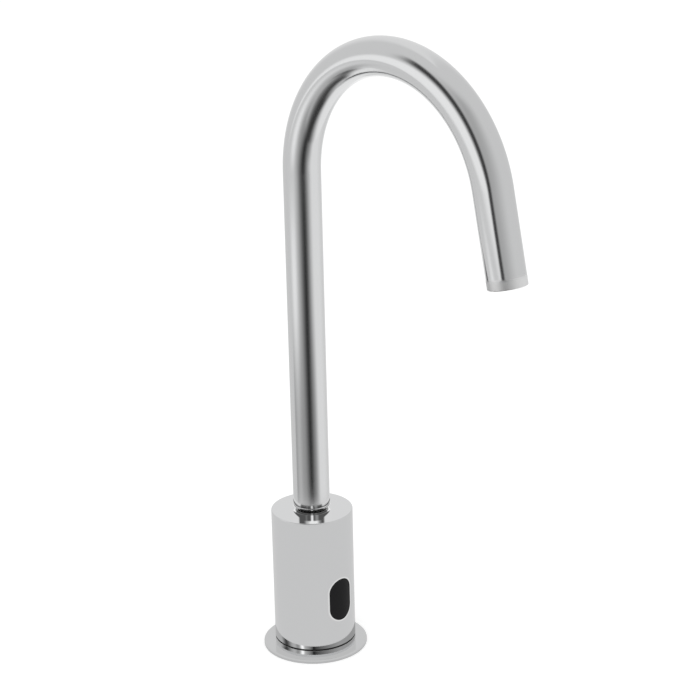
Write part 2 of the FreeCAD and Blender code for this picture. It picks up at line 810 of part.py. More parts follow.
def make_solenoid():
    """Diaphragm under the bonnet, the plunger and its spring in the guide, and the coil in its yoke."""
    diaphragm = along_valve("diaphragm", S.diaphragm_radius, seat_x, bonnet_x)
    part(diaphragm, "diaphragm")

    plate = block(
        "bonnet_plate",
        (bonnet_x, S.valve_y - bonnet_half, S.valve_z - bonnet_half),
        (bonnet_end, S.valve_y + bonnet_half, S.valve_z + bonnet_half),
    )
    guide = along_valve("bonnet_guide", S.guide_radius, bonnet_end, spring_end + S.guide_end)
    bore = along_valve("bonnet_bore", S.guide_bore, bonnet_x, spring_end)
    part(cut("valve_bonnet", fuse("bonnet_blank", plate, guide), bore), "valve_bonnet")
    plunger = along_valve("plunger", S.guide_bore - S.running_gap, plunger_start, plunger_end)
    part(plunger, "plunger")
    part(along_valve("plunger_spring", S.spring_radius, plunger_end, spring_end), "plunger_spring")

    half = S.coil_side / 2
    coil = block(
        "coil_block",
        (coil_start, S.valve_y - half, S.valve_z - half), (coil_end, S.valve_y + half, S.valve_z + half),
    )
    hole = along_valve("coil_hole", S.guide_radius + S.fit_gap, coil_start, coil_end)
    part(cut("coil", coil, hole), "coil")

    # bent strip round the coil, forked at both ends so that it drops over the guide
    width = S.yoke_width / 2
    low, high = S.valve_z - half - S.yoke_thick, S.valve_z + half
    outside = block(
        "yoke_outside",
        (coil_start - S.yoke_thick, S.valve_y - width, low),
        (coil_end + S.yoke_thick, S.valve_y + width, high),
    )
    inside = block(
        "yoke_inside",
        (coil_start, S.valve_y - half, low + S.yoke_thick), (coil_end, S.valve_y + half, high),
    )
    fork = S.guide_radius + S.fit_gap
    slot = block(
        "yoke_slot",
        (coil_start - S.yoke_thick, S.valve_y - fork, S.valve_z - fork),
        (coil_end + S.yoke_thick, S.valve_y + fork, high),
    )
    part(cut("coil_yoke", outside, inside, slot), "coil_yoke")


def make_inlet():
    """Six-sided inlet connector through the base into the valve, with the strainer at the end of its thread."""
    at = (port_x, port_y)
    low = S.port_setback
    thread_end = low + S.inlet_thread_depth
    screen_radius = S.inlet_thread - S.screen_step
    shank = hexagon("connector_shank", S.connector_flats, valve_low - low, (*at, low))
    flange = hexagon("connector_seat", S.connector_flange, S.connector_flange_thick, (*at, base_top))
    neck = cylinder("connector_neck", S.neck_radius, S.neck_length, (*at, valve_low))
    thread = cylinder("connector_thread", S.inlet_thread, S.inlet_thread_depth, (*at, low))
    recess = cylinder("connector_recess", screen_radius, S.screen_thick + S.screen_step, (*at, thread_end))
    bore = cylinder("connector_bore", S.inlet_bore, valve_low + S.neck_length, (*at, low))
    blank = fuse("connector_blank", shank, flange, neck)
    part(cut("inlet_connector", blank, thread, recess, bore), "inlet_connector")
    screen_at = (*at, thread_end + S.screen_step)
    screen = cylinder("inlet_screen", screen_radius - S.fit_gap, S.screen_thick, screen_at)
    part(screen, "inlet_screen")


# ---- build, check and write ---------------------------------------------------------------------------------

def check_document():
    """Stops with a message if any object failed or any piece is not a closed, valid solid."""
    for thing in doc.Objects:
        bad = [state for state in thing.State if state in ("Invalid", "Error")]
        if bad:
            raise RuntimeError(f"{thing.Name} is {bad[0]}: {thing.getStatusString()}")
    for thing in PARTS:
        shape = thing.Shape
        if shape.isNull() or not shape.isValid() or not shape.Solids:
            raise RuntimeError(f"{thing.Label} is not a valid solid")


def main():
    make_base_flange()
    make_body_seal()
    make_grommet()
    make_body_shell()
    make_stop_screw()
    make_spout_adapter()
    make_spout_rings()
    make_spout_tube()
    make_aerator()
    make_sensor()
    make_valve_body()
    make_solenoid()
    make_inlet()
    doc.recompute()
    check_document()
    os.makedirs("parts", exist_ok=True)
    for thing in PARTS:
        shape = thing.Shape
        shape.exportStep(f"parts/{thing.Label}.step")
        print(f"{thing.Label:16s} {len(shape.Solids)} solid, {shape.Volume:10.1f} mm3")


main()
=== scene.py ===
"""Finish and studio for a deck-mounted sensor tap.

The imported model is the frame. The flange, the body with its window, the lens, the swivel foot, the bent
tube, the dark rings and the plunger's spring are modelled here as smooth meshes in the same places. The other
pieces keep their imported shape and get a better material. Everything is in metres, +Z up, tap facing -Y.
"""

import math
import bmesh
import bpy
from bpy.props import FloatProperty, FloatVectorProperty, PointerProperty
from mathutils import Matrix, Vector


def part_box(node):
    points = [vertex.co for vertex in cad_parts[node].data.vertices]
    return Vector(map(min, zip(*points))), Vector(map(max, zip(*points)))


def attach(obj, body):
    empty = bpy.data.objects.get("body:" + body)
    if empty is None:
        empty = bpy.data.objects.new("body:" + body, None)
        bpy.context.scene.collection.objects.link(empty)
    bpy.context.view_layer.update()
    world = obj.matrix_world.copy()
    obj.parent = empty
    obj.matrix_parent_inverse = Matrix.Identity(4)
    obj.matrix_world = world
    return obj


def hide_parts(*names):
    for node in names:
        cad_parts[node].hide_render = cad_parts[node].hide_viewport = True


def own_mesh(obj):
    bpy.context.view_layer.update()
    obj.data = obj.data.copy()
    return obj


bl_info = {
    "name": "Sensor Tap Finish",
    "version": (1, 0, 0),
    "blender": (4, 5, 0),
    "location": "3D View > Sidebar > Tap",
    "description": "Models the visible chrome of a sensor tap, gives every piece its finish and lights it",
    "category": "Object",
}

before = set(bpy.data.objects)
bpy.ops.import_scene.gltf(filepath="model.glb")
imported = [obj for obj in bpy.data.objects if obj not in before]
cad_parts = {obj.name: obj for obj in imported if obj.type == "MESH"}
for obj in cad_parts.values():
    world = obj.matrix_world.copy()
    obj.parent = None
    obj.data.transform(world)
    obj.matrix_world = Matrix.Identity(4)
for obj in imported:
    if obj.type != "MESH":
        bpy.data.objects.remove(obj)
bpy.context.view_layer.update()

MM = 0.001
DEGREES = 180 / math.pi
WHITE = (1.0, 1.0, 1.0)
# gap between pieces that fit in each other, and how far a cutting tool reaches past what it cuts
FIT, MARGIN = 0.1 * MM, 5 * MM
# points closer than this are one point
SAME = 0.0001 * MM
# facets round a turned piece, the tube and a drilled hole
ROUND, FINE_ROUND, HOLE_ROUND = 192, 96, 48
# edges sharper than this look sharp
SHARP_ANGLE = math.radians(32)

_, FLANGE_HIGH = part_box("base_flange")
SHELL_LOW, SHELL_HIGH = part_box("body_shell")
SEAL_LOW, SEAL_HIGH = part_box("body_seal")
GLIDE_LOW, GLIDE_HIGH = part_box("slide_ring")
FOOT_LOW, FOOT_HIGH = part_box("spout_adapter")
TUBE_LOW, TUBE_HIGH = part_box("spout_tube")
LENS_LOW, LENS_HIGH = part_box("sensor_lens")
SCREW_LOW, SCREW_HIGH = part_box("stop_screw")
INLET_LOW, INLET_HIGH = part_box("inlet_connector")
GROMMET_LOW, GROMMET_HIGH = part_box("cable_grommet")
SPRING_LOW, SPRING_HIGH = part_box("plunger_spring")

BODY_RADIUS = SHELL_HIGH.x
TUBE_RADIUS = TUBE_HIGH.x
# ends along Y of the tools that cut the window and the lens
TOOL_FRONT, TOOL_BACK = -BODY_RADIUS - MARGIN, -BODY_RADIUS / 2


# ---- sizes, colours and light that a user would change -------------------------------------------

def length(name, description, default):
    return FloatProperty(name=name, description=description, default=default, unit="LENGTH", precision=5)


def turn(name, description, degrees):
    return FloatProperty(name=name, description=description, default=math.radians(degrees), subtype="ANGLE")


def share(name, description, default):
    return FloatProperty(name=name, description=description, default=default, min=0, max=2, subtype="FACTOR")


def colour(name, description, default):
    return FloatVectorProperty(name=name, description=description, default=default, size=3, subtype="COLOR")


class TapShape(bpy.types.PropertyGroup):
    bend_radius: length("Bend radius", "Radius of the tube's centre line in the bend", 75.5 * MM)
    bend_angle: turn("Bend angle", "How far the tube turns over", 168)
    outlet_length: length("Outlet length", "Straight end of the tube after the bend", 51.5 * MM)
    tube_wall: length("Tube wall", "Thickness of the tube", 1.2 * MM)
    tube_lip: length("Tube lip", "Rounding of the tube's outlet", 0.57 * MM)
    body_wall: length("Body wall", "Thickness of the body's side", 2.0 * MM)
    top_block: length("Top block", "Height of the solid top of the body", 20.5 * MM)
    flange_thick: length("Flange thickness", "Thickness of the deck flange", 2.2 * MM)
    flange_round: length("Flange rounding", "Rounding of the flange's upper rim", 0.9 * MM)
    body_round: length("Body rounding", "Rounding of the body's top rim", 0.5 * MM)
    small_round: length("Small rounding", "Broken edge of the turned pieces", 0.15 * MM)
    window_width: length("Window width", "Width of the eye's window", 16.5 * MM)
    window_height: length("Window height", "Height of the eye's window", 26.8 * MM)
    window_centre: length("Window centre", "Height of the window's middle", 36.0 * MM)
    window_round: length("Window rounding", "Rounding of the window's rim", 0.3 * MM)
    seal_extra: length("Seal depth", "How far the dark ring reaches down into the plinth", 0.4 * MM)
    lens_gap: length("Lens gap", "Gap between the lens and the window", 0.36 * MM)
    lens_round: length("Lens rounding", "Rounding of the lens's edge", 0.35 * MM)
    collar_height: length("Collar height", "Height of the swivel foot's collar", 3.4 * MM)
    socket_radius: length("Socket radius", "Radius of the socket in the top of the body", 8.08 * MM)
    nipple_radius: length("Nipple radius", "Radius of the swivel foot in its socket", 8.0 * MM)
    waterway_radius: length("Waterway radius", "Bore of the swivel foot", 4.6 * MM)
    stud_radius: length("Stud radius", "Radius of the fixing thread in the underside", 3.4 * MM)
    stud_offset: length("Stud offset", "Distance of the fixing thread behind the axis", 10.5 * MM)


class TapFinish(bpy.types.PropertyGroup):
    chrome: colour("Chrome", "Colour of the polished chrome", (0.78, 0.785, 0.79))
    side_chrome: colour("Side chrome", "Colour of the body's side and the flange's disc", (0.78, 0.784, 0.79))
    chrome_rough: share("Chrome roughness", "Roughness of the polished chrome", 0.06)
    tube_rough: share("Tube roughness", "Roughness of the tube's chrome", 0.13)
    flange_rough: share("Flange roughness", "Roughness of the flange's disc", 0.09)
    lens: colour("Lens", "Colour of the infrared window", (0.0145, 0.0145, 0.015))
    rubber: colour("Rubber", "Colour of the seals", (0.004, 0.004, 0.004))
    plastic: colour("Dark plastic", "Colour of the dark mouldings", (0.02, 0.02, 0.021))
    pale_plastic: colour("Pale plastic", "Colour of the aerator's mouldings", (0.62, 0.62, 0.60))
    brass: colour("Brass", "Colour of the bare brass", (0.70, 0.50, 0.22))
    steel: colour("Steel", "Colour of the bare steel", (0.56, 0.56, 0.57))
    board: colour("Board", "Colour of the circuit board", (0.015, 0.12, 0.05))
    copper: colour("Copper", "Colour of the board's tracks", (0.10, 0.30, 0.12))
    diode: colour("Diodes", "Colour of the clear diodes", (0.20, 0.23, 0.32))
    lamp: colour("Signal lamp", "Colour of the signal lamp's body", (0.50, 0.03, 0.02))


class TapStudio(bpy.types.PropertyGroup):
    azimuth: turn("Camera side", "How far the camera stands to the left of the tap's front", 41.29)
    elevation: turn("Camera height", "How far the camera stands above its target", 20.89)
    distance: length("Camera distance", "From the target to the camera", 1.2557)
    target_height: length("Target height", "Height of the camera's target on the tap's axis", 0.150)
    pitch: turn("Camera pitch", "How far the camera looks down", 19.24)
    yaw: turn("Camera yaw", "How far the camera looks to the right of the target", 1.224)
    roll: turn("Camera roll", "Tilt of the camera about its line of sight", -1.28)
    lens: FloatProperty(name="Focal length", description="Focal length", default=108.985, unit="CAMERA")
    sky: share("Room light", "Strength of the even light from all sides", 0.85)
    lamp: FloatProperty(name="Lamp", description="Power of the lamp above the tap", default=2.2, unit="POWER")
    floor: colour("Floor", "Colour of the floor", (0.86, 0.86, 0.86))
    floor_lift: share("Floor lift", "Light that the camera sees in the floor besides its colour", 0.32)
    near_tone: share("Near tone", "Tone that the body and the flange mirror", 0.70)
    tent_bright: share("Bright side", "Tone of the tent's bright side, as the chrome mirrors it", 0.97)
    tent_plain: share("Plain side", "Tone of the rest of the tent", 0.69)


# ---- shader sockets that can be reckoned with ----------------------------------------------------

class Wire:
    """One output of a shader node, with the usual operators."""

    def __init__(self, finish, socket):
        self.finish = finish
        self.socket = socket

    def maths(self, operation, *others):
        return self.finish.node("Math", {"operation": operation}, [self, *others])

    def __add__(self, other):
        return self.maths("ADD", other)

    def __radd__(self, other):
        return self.maths("ADD", other)

    def __sub__(self, other):
        return self.maths("SUBTRACT", other)

    def __rsub__(self, other):
        return self.finish.node("Math", {"operation": "SUBTRACT"}, [other, self])

    def __mul__(self, other):
        return self.maths("MULTIPLY", other)

    def __rmul__(self, other):
        return self.maths("MULTIPLY", other)

    def __truediv__(self, other):
        return self.maths("DIVIDE", other)

    def __pow__(self, other):
        return self.maths("POWER", other)

    def absolute(self):
        return self.maths("ABSOLUTE")

    def least(self, other):
        return self.maths("MINIMUM", other)

    def most(self, other):
        return self.maths("MAXIMUM", other)

    def over(self, edge, soft=0.0):
        """0 below the edge and 1 above it, with a soft step of that width."""
        if not soft:
            return self.maths("GREATER_THAN", edge)
        return self.finish.step(self, edge - soft / 2, edge + soft / 2)

    def hump(self, middle, half_width):
        """1 at the middle, falling smoothly to 0 at the half width on both sides."""
        return 1 - self.finish.step((self - middle).absolute(), 0, half_width)

    def strip(self, middle, half_width, strength):
        return self.hump(middle, half_width) * strength

    def away(self, middle, left, right):
        """Distance from the middle: 0 there, and 1 at the reach to the left or to the right."""
        past = self.over(middle)
        return (self - middle).absolute() / (past * right + (1 - past) * left)

    def from_dark(self, darkest):
        """The same tone from 0 to 1, but starting at the darkest one."""
        return darkest + (1 - darkest) * self


SOCKETS = {"metallic": "Metallic", "roughness": "Roughness", "normal": "Normal", "ior": "IOR"}


class Finish:
    """A material made of nodes, written as expressions."""

    def __init__(self, name):
        self.material = bpy.data.materials.new(name)
        self.material.use_nodes = True
        self.open(self.material.node_tree)

    def open(self, tree):
        self.tree = tree
        tree.nodes.clear()

    def node(self, kind, settings=None, values=(), output=0):
        """Adds a node of that kind. Its settings come first, then values or wires by socket name or order."""
        made = self.tree.nodes.new(f"ShaderNode{kind}")
        for name, value in (settings or {}).items():
            setattr(made, name, value)
        pairs = values.items() if isinstance(values, dict) else enumerate(values)
        for key, value in pairs:
            socket = made.inputs[key]
            if isinstance(value, Wire):
                self.tree.links.new(value.socket, socket)
            else:
                socket.default_value = value
        return Wire(self, made.outputs[output])

    def place(self):
        """The piece's own coordinates, in metres."""
        return self.node("TexCoord", output="Object")

    def axes(self, vector=None):
        vector = vector or self.place()
        return [self.node("SeparateXYZ", values=[vector], output=letter) for letter in "XYZ"]

    def step(self, value, low, high):
        settings = {"interpolation_type": "SMOOTHSTEP"}
        return self.node("MapRange", settings, {"Value": value, "From Min": low, "From Max": high})

    def band(self, value, rise, fall):
        """1 between a soft rise and a soft fall, each a pair of values."""
        return self.step(value, *rise) * (1 - self.step(value, *fall))

    def noise(self, scale, detail=3.0, stretch=None):
        vector = self.place()
        if stretch:
            vector = self.node("Mapping", values={"Vector": vector, "Scale": stretch})
        values = {"Vector": vector, "Scale": scale, "Detail": detail}
        return self.node("TexNoise", values=values, output="Fac")

    def mix(self, factor, first, second):
        """Mixes two colours."""
        values = {0: factor, 6: self.tint(first), 7: self.tint(second)}
        return self.node("Mix", {"data_type": "RGBA"}, values, output=2)

    def tint(self, value):
        """A wire as it is, or the value of a colour socket from a colour or the tone of a grey."""
        if isinstance(value, Wire):
            return value
        return (value, value, value, 1.0) if isinstance(value, float) else (*value, 1.0)

    def bump(self, height, distance, strength=1.0):
        values = {"Height": height, "Distance": distance, "Strength": strength}
        return self.node("Bump", values=values)

    def surface(self, base, **sockets):
        values = {"Base Color": self.tint(base)}
        values.update({SOCKETS[name]: value for name, value in sockets.items()})
        shader = self.node("BsdfPrincipled", values=values)
        self.node_output(shader)
        return self.material

    def node_output(self, shader, kind="OutputMaterial"):
        made = self.tree.nodes.new(f"ShaderNode{kind}")
        self.tree.links.new(shader.socket, made.inputs["Surface"])


def shades(base, change):
    """A slightly darker and a slightly lighter tone of a colour."""
    return [tuple(part * factor for part in base) for factor in (1 - change, 1 + change)]


# ---- finishes ------------------------------------------------------------------------------------

def wiped(rough, wipe):
    """Roughness with faint wipe marks in it."""
    return rough * (0.75 + wipe * 0.5)


def chrome_finish(name, base, rough, rough_white_end=None):
    """Polished plate with a hardly visible waviness, and an end that is rougher and whiter, where one is
    given.
    """
    f = Finish(name)
    wipe = f.noise(scale=38, detail=4, stretch=(1, 1, 0.35))
    wave = f.noise(scale=55, detail=2)
    tones = shades(base, 0.012)
    gloss = wiped(rough, wipe)
    if rough_white_end:
        end, down = rough_white_end
        end_length, fade, rougher, whiter = 5.4 * MM, 2.4 * MM, 0.38, 0.8
        _, y, z = f.axes()
        above = (end.y - y) * down.y + (end.z - z) * down.z
        near = (1 - y.over(end.y / 2)) * (1 - above.over(end_length, fade))
        gloss = gloss + near * rougher
        # towards the end the colour is mixed towards white while the gloss gets rougher
        tones = [f.mix(near * whiter, tone, WHITE) for tone in tones]
    return f.surface(
        f.mix(wipe, *tones), metallic=1.0, roughness=gloss, normal=f.bump(wave, distance=0.01 * MM),
    )


def body_finish(finish):
    """Chrome of the body, with a painted highlight that whitens its colour round the window and along the
    top's edge.
    """
    f = Finish("chrome_body")
    x, y, z = f.axes()
    side = 1 - z.over(SHELL_HIGH.z - 0.45 * MM, soft=0.3 * MM)
    shape = bpy.context.scene.tap_shape
    upright = (shape.window_height - shape.window_width) / 2
    above = ((z - shape.window_centre).absolute() - upright).most(0)
    from_edge = (x * x + above * above) ** 0.5 - shape.window_width / 2
    # painted highlight: thin bands round the window's rim and along the top's edge
    window_highlight_band = from_edge.hump(middle=0.4 * MM, half_width=0.9 * MM) * (1 - y.over(0))
    top_highlight_band = z.hump(middle=SHELL_HIGH.z - 0.1 * MM, half_width=0.6 * MM) * side
    wipe = f.noise(scale=30, detail=4, stretch=(1, 1, 0.3))
    plate = f.mix(wipe, *shades(finish.side_chrome, 0.015))
    # the side's colour is mixed towards white in the painted highlight bands
    highlighted_plate = f.mix((window_highlight_band + top_highlight_band).least(1), plate, WHITE)
    return f.surface(
        f.mix(side, finish.chrome, highlighted_plate), metallic=1.0, roughness=wiped(finish.chrome_rough, wipe),
    )


def flange_finish(finish):
    """Chrome of the flange: softer on its flat disc, mirror-like on the plinth."""
    f = Finish("chrome_flange")
    disc_top = bpy.context.scene.tap_shape.flange_thick + 0.5 * MM
    disc = 1 - f.axes()[2].over(disc_top, soft=0.1 * MM)
    wipe = f.noise(scale=30, detail=4)
    base = f.mix(disc, finish.chrome, f.mix(wipe, *shades(finish.side_chrome, 0.015)))
    soft = finish.flange_rough * (0.9 + wipe * 0.2)
    mirror = wiped(finish.chrome_rough, wipe)
    return f.surface(base, metallic=1.0, roughness=disc * soft + (1 - disc) * mirror)


def rubber_finish(finish):
    f = Finish("rubber_black")
    grain = f.noise(scale=900, detail=4)
    return f.surface(
        f.mix(grain, *shades(finish.rubber, 0.25)), roughness=0.55 + grain * 0.2,
        normal=f.bump(grain, distance=0.03 * MM),
    )


def lens_finish(finish):
    """Moulded window that only infrared light passes, with a glossy face."""
    f = Finish("lens_dark")
    speck = f.noise(scale=300, detail=3)
    return f.surface(f.mix(speck, *shades(finish.lens, 0.12)), roughness=0.14 + speck * 0.08, ior=1.16)


def plastic_finish(name, base, rough):
    f = Finish(name)
    grain = f.noise(scale=1400, detail=3)
    patch = f.noise(scale=60, detail=2)
    return f.surface(
        f.mix(patch, *shades(base, 0.08)), roughness=rough * (0.85 + grain * 0.3),
        normal=f.bump(grain, distance=0.02 * MM),
    )


def machined_finish(name, base, rough, along):
    """Turned or milled metal, with fine tool marks across the given axis."""
    f = Finish(name)
    stretch = [1.0 if letter == along else 0.08 for letter in "XYZ"]
    marks = f.noise(scale=2600, detail=2, stretch=stretch)
    patch = f.noise(scale=90, detail=3)
    return f.surface(
        f.mix(patch, *shades(base, 0.10)), metallic=1.0, roughness=rough + marks * 0.18,
        normal=f.bump(marks, distance=0.012 * MM),
    )


def mesh_finish(name, base):
    """Woven wire, as a fine grid of holes in the gloss and the colour."""
    f = Finish(name)
    x, y, _ = f.axes()
    pitch = 0.5 * MM
    across = (x / pitch).maths("SINE") * (y / pitch).maths("SINE")
    wire = across.absolute().over(0.35, soft=0.2)
    hole = tuple(part * 0.15 for part in base)
    return f.surface(f.mix(wire, hole, base), metallic=1.0, roughness=0.3 + wire * 0.1)


def board_finish(finish):
    """Circuit board: solder resist with copper tracks showing through."""
    f = Finish("board_green")
    pitch = 1.5 * MM
    rows = f.axes()[0] / pitch + f.noise(scale=120, detail=1) * 2
    lines = rows.maths("FRACT").hump(middle=0.5, half_width=0.18)
    tracks = lines * f.noise(scale=260, detail=1).over(0.48, soft=0.05)
    return f.surface(f.mix(tracks, finish.board, finish.copper), roughness=0.3 + tracks * 0.1)


def winding_finish(finish):
    """Moulded coil with faint mould lines along it."""
    f = Finish("coil_moulding")
    pitch = 0.9 * MM
    lines = (f.axes()[0] / pitch).maths("FRACT").hump(middle=0.5, half_width=0.5)
    return f.surface(
        f.mix(lines, *shades(finish.plastic, 0.1)), roughness=0.42 + lines * 0.1,
        normal=f.bump(lines, distance=0.08 * MM),
    )


# ---- mesh helpers --------------------------------------------------------------------------------

def full_turn(bm, segments=ROUND):
    """Spins everything once about Z and closes the seam."""
    bmesh.ops.spin(
        bm, geom=bm.verts[:] + bm.edges[:], cent=(0, 0, 0), axis=(0, 0, 1), angle=math.tau,
        steps=segments, use_merge=True, use_normal_flip=False, use_duplicate=False,
    )
    bmesh.ops.remove_doubles(bm, verts=bm.verts[:], dist=SAME)


def spun_profile(profile, segments=ROUND):
    """Turns a closed half section about Z. The profile is a list of radius and height."""
    bm = bmesh.new()
    points = [bm.verts.new((radius, 0, height)) for radius, height in profile]
    for first, second in zip(points, points[1:] + points[:1]):
        bm.edges.new((first, second))
    full_turn(bm, segments)
    flat = [edge for edge in bm.edges if not edge.link_faces]
    bmesh.ops.delete(bm, geom=flat, context="EDGES")
    bmesh.ops.recalc_face_normals(bm, faces=bm.faces[:])
    return bm


def ring_edges(bm, radius, height):
    """Edges of the circle about Z with that radius and height."""
    near = 0.001 * MM

    def on_ring(vert):
        return abs(math.hypot(vert.co.x, vert.co.y) - radius) < near and abs(vert.co.z - height) < near
    return [edge for edge in bm.edges if all(on_ring(vert) for vert in edge.verts)]


def soften(bm, edges, size, segments=4):
    bmesh.ops.bevel(
        bm, geom=edges, offset=size, offset_type="OFFSET", segments=segments, profile=0.5,
        affect="EDGES", clamp_overlap=True, material=-1, loop_slide=True,
    )


def piece_from(bm, name):
    mesh = bpy.data.meshes.new(name)
    bm.to_mesh(mesh)
    bm.free()
    piece = bpy.data.objects.new(name, mesh)
    bpy.context.scene.collection.objects.link(piece)
    return piece


def carve(piece, *cutters, operation="DIFFERENCE"):
    """Cuts the tools out of the piece, and removes the tools."""
    for cutter in cutters:
        modifier = piece.modifiers.new("carve", "BOOLEAN")
        modifier.object = cutter
        modifier.operation = operation
        modifier.solver = "EXACT"
    depsgraph = bpy.context.evaluated_depsgraph_get()
    mesh = bpy.data.meshes.new_from_object(piece.evaluated_get(depsgraph))
    piece.modifiers.clear()
    old, piece.data = piece.data, mesh
    bpy.data.meshes.remove(old)
    mesh.name = piece.name
    for cutter in cutters:
        bpy.data.objects.remove(cutter)
    return piece


def finish_piece(piece, material, body, slot, *nodes):
    """Gives the piece its material and shading, the body that it rides on and the nodes it stands for."""
    piece.data.materials.clear()
    piece.data.materials.append(material)
    piece.data.shade_smooth()
    piece.data.set_sharp_from_angle(angle=SHARP_ANGLE)
    level = piece.modifiers.new("even_shading", "WEIGHTED_NORMAL")
    level.keep_sharp = True
    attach(piece, body)
    if nodes:
        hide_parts(*nodes)
    return piece


def round_window(piece, radius, size):
    """Rounds the sharp edges round the eye, where they lie on the turned wall of that radius."""
    bm = bmesh.new()
    bm.from_mesh(piece.data)
    bmesh.ops.remove_doubles(bm, verts=bm.verts[:], dist=0.002 * MM)
    near, sharp, lowest, highest = 0.01 * MM, math.radians(40), 20 * MM, 52 * MM

    def on_wall(vert):
        return abs(math.hypot(vert.co.x, vert.co.y) - radius) < near and vert.co.y < 0
    rim = [
        edge for edge in bm.edges
        if all(on_wall(vert) for vert in edge.verts) and edge.calc_face_angle(0) > sharp
        and lowest < edge.verts[0].co.z < highest
    ]
    soften(bm, rim, size)
    bm.to_mesh(piece.data)
    bm.free()


def bar(name, sides, radius, start, end, turned=0.0):
    """A straight bar with that many sides, as a cutting tool."""
    bm = bmesh.new()
    bmesh.ops.create_cone(
        bm, cap_ends=True, segments=sides, radius1=radius, radius2=radius, depth=(end - start).length,
    )
    turn_to = (end - start).to_track_quat("Z", "Y").to_matrix().to_4x4()
    bm.transform(Matrix.Translation((start + end) / 2) @ turn_to @ Matrix.Rotation(turned, 4, "Z"))
    return piece_from(bm, name)


def stadium_bar(name, width, height, centre, front, back, edge=0.0):
    """Upright slot-shaped bar along Y, with its front rim rounded by edge."""
    bm = bmesh.new()
    bmesh.ops.create_circle(bm, cap_ends=True, segments=FINE_ROUND, radius=width / 2)
    bm.transform(Matrix.Rotation(math.pi / 2, 4, "X"))
    half = (height - width) / 2
    for sign in (1, -1):
        row = [vert for vert in bm.verts if vert.co.z * sign > SAME]
        bmesh.ops.translate(bm, verts=row, vec=(0, 0, half * sign))
    level = [vert for vert in bm.verts if abs(vert.co.z) < SAME]
    bmesh.ops.translate(bm, verts=level, vec=(0, 0, half))
    bmesh.ops.translate(bm, verts=bm.verts[:], vec=(0, front, centre))
    grown = bmesh.ops.extrude_face_region(bm, geom=bm.faces[:])
    moved = [item for item in grown["geom"] if isinstance(item, bmesh.types.BMVert)]
    bmesh.ops.translate(bm, verts=moved, vec=(0, back - front, 0))
    bmesh.ops.recalc_face_normals(bm, faces=bm.faces[:])
    if edge:
        rim = [e for e in bm.edges if all(abs(v.co.y - front) < SAME for v in e.verts)]
        soften(bm, rim, edge)
    return piece_from(bm, name)


# ---- operators -----------------------------------------------------------------------------------

class TAP_OT_deck_flange(bpy.types.Operator):
    """Models the round flange with its plinth, spigot and the three holes in its underside"""

    bl_idname = "tap.deck_flange"
    bl_label = "Deck flange"

    def execute(self, context):
        shape, finish = context.scene.tap_shape, context.scene.tap_finish
        rim, thick, top = FLANGE_HIGH.x, shape.flange_thick, FLANGE_HIGH.z
        plinth_top, spigot = SEAL_LOW.z - shape.seal_extra, BODY_RADIUS - shape.body_wall - FIT
        bm = spun_profile([
            (0, 0), (rim, 0), (rim, thick), (BODY_RADIUS, thick), (BODY_RADIUS, plinth_top),
            (spigot, plinth_top), (spigot, top), (0, top),
        ])
        soften(bm, ring_edges(bm, rim, thick), shape.flange_round, 6)
        soften(bm, ring_edges(bm, rim, 0), shape.small_round, 3)
        soften(bm, ring_edges(bm, BODY_RADIUS, plinth_top), shape.small_round / 3, 3)
        flange = piece_from(bm, "deck_flange")
        inlet, cable = (INLET_LOW + INLET_HIGH) / 2, (GROMMET_LOW + GROMMET_HIGH) / 2
        inlet_flats, cable_flats = 12.2 * MM, 8.2 * MM
        tools = []
        for name, sides, radius, x, y, turned in (
            ("stud_tool", HOLE_ROUND, shape.stud_radius, 0, shape.stud_offset, 0),
            ("inlet_tool", 6, inlet_flats / math.sqrt(3), inlet.x, inlet.y, 90),
            ("cable_tool", 4, cable_flats / math.sqrt(2), cable.x, cable.y, 45),
        ):
            ends = Vector((x, y, -MARGIN)), Vector((x, y, top + MARGIN))
            tools.append(bar(name, sides, radius, *ends, math.radians(turned)))
        carve(flange, *tools)
        finish_piece(flange, flange_finish(finish), "base", "chrome_polished", "base_flange")
        return {"FINISHED"}


class TAP_OT_tap_body(bpy.types.Operator):
    """Models the round body with its window, the screw's hole and the socket of the spout"""

    bl_idname = "tap.tap_body"
    bl_label = "Tap body"

    def execute(self, context):
        shape, finish = context.scene.tap_shape, context.scene.tap_finish
        low, top = SHELL_LOW.z, SHELL_HIGH.z
        bore, block = BODY_RADIUS - shape.body_wall, top - shape.top_block
        levels = 40
        side = [(BODY_RADIUS, low + (top - low) * k / levels) for k in range(levels + 1)]
        bm = spun_profile([
            (bore, low), *side, (shape.socket_radius, top), (shape.socket_radius, block), (bore, block),
        ])
        soften(bm, ring_edges(bm, BODY_RADIUS, top), shape.body_round, 5)
        soften(bm, ring_edges(bm, BODY_RADIUS, low), shape.small_round / 3, 3)
        soften(bm, ring_edges(bm, shape.socket_radius, top), shape.small_round, 3)
        body = piece_from(bm, "tap_body")
        screw = (SCREW_LOW + SCREW_HIGH) / 2
        screw_radius = (SCREW_HIGH.x - SCREW_LOW.x) / 2 + 0.05 * MM
        width, height, middle = shape.window_width, shape.window_height, shape.window_centre
        window = stadium_bar("window_tool", width, height, middle, TOOL_FRONT, TOOL_BACK)
        screw_end = Vector((0, BODY_RADIUS + MARGIN, screw.z))
        hole = bar("screw_tool", HOLE_ROUND, screw_radius, Vector((0, 0, screw.z)), screw_end)
        carve(body, window, hole)
        round_window(body, BODY_RADIUS, shape.window_round)
        finish_piece(body, body_finish(finish), "base", "chrome_body", "body_shell")
        return {"FINISHED"}


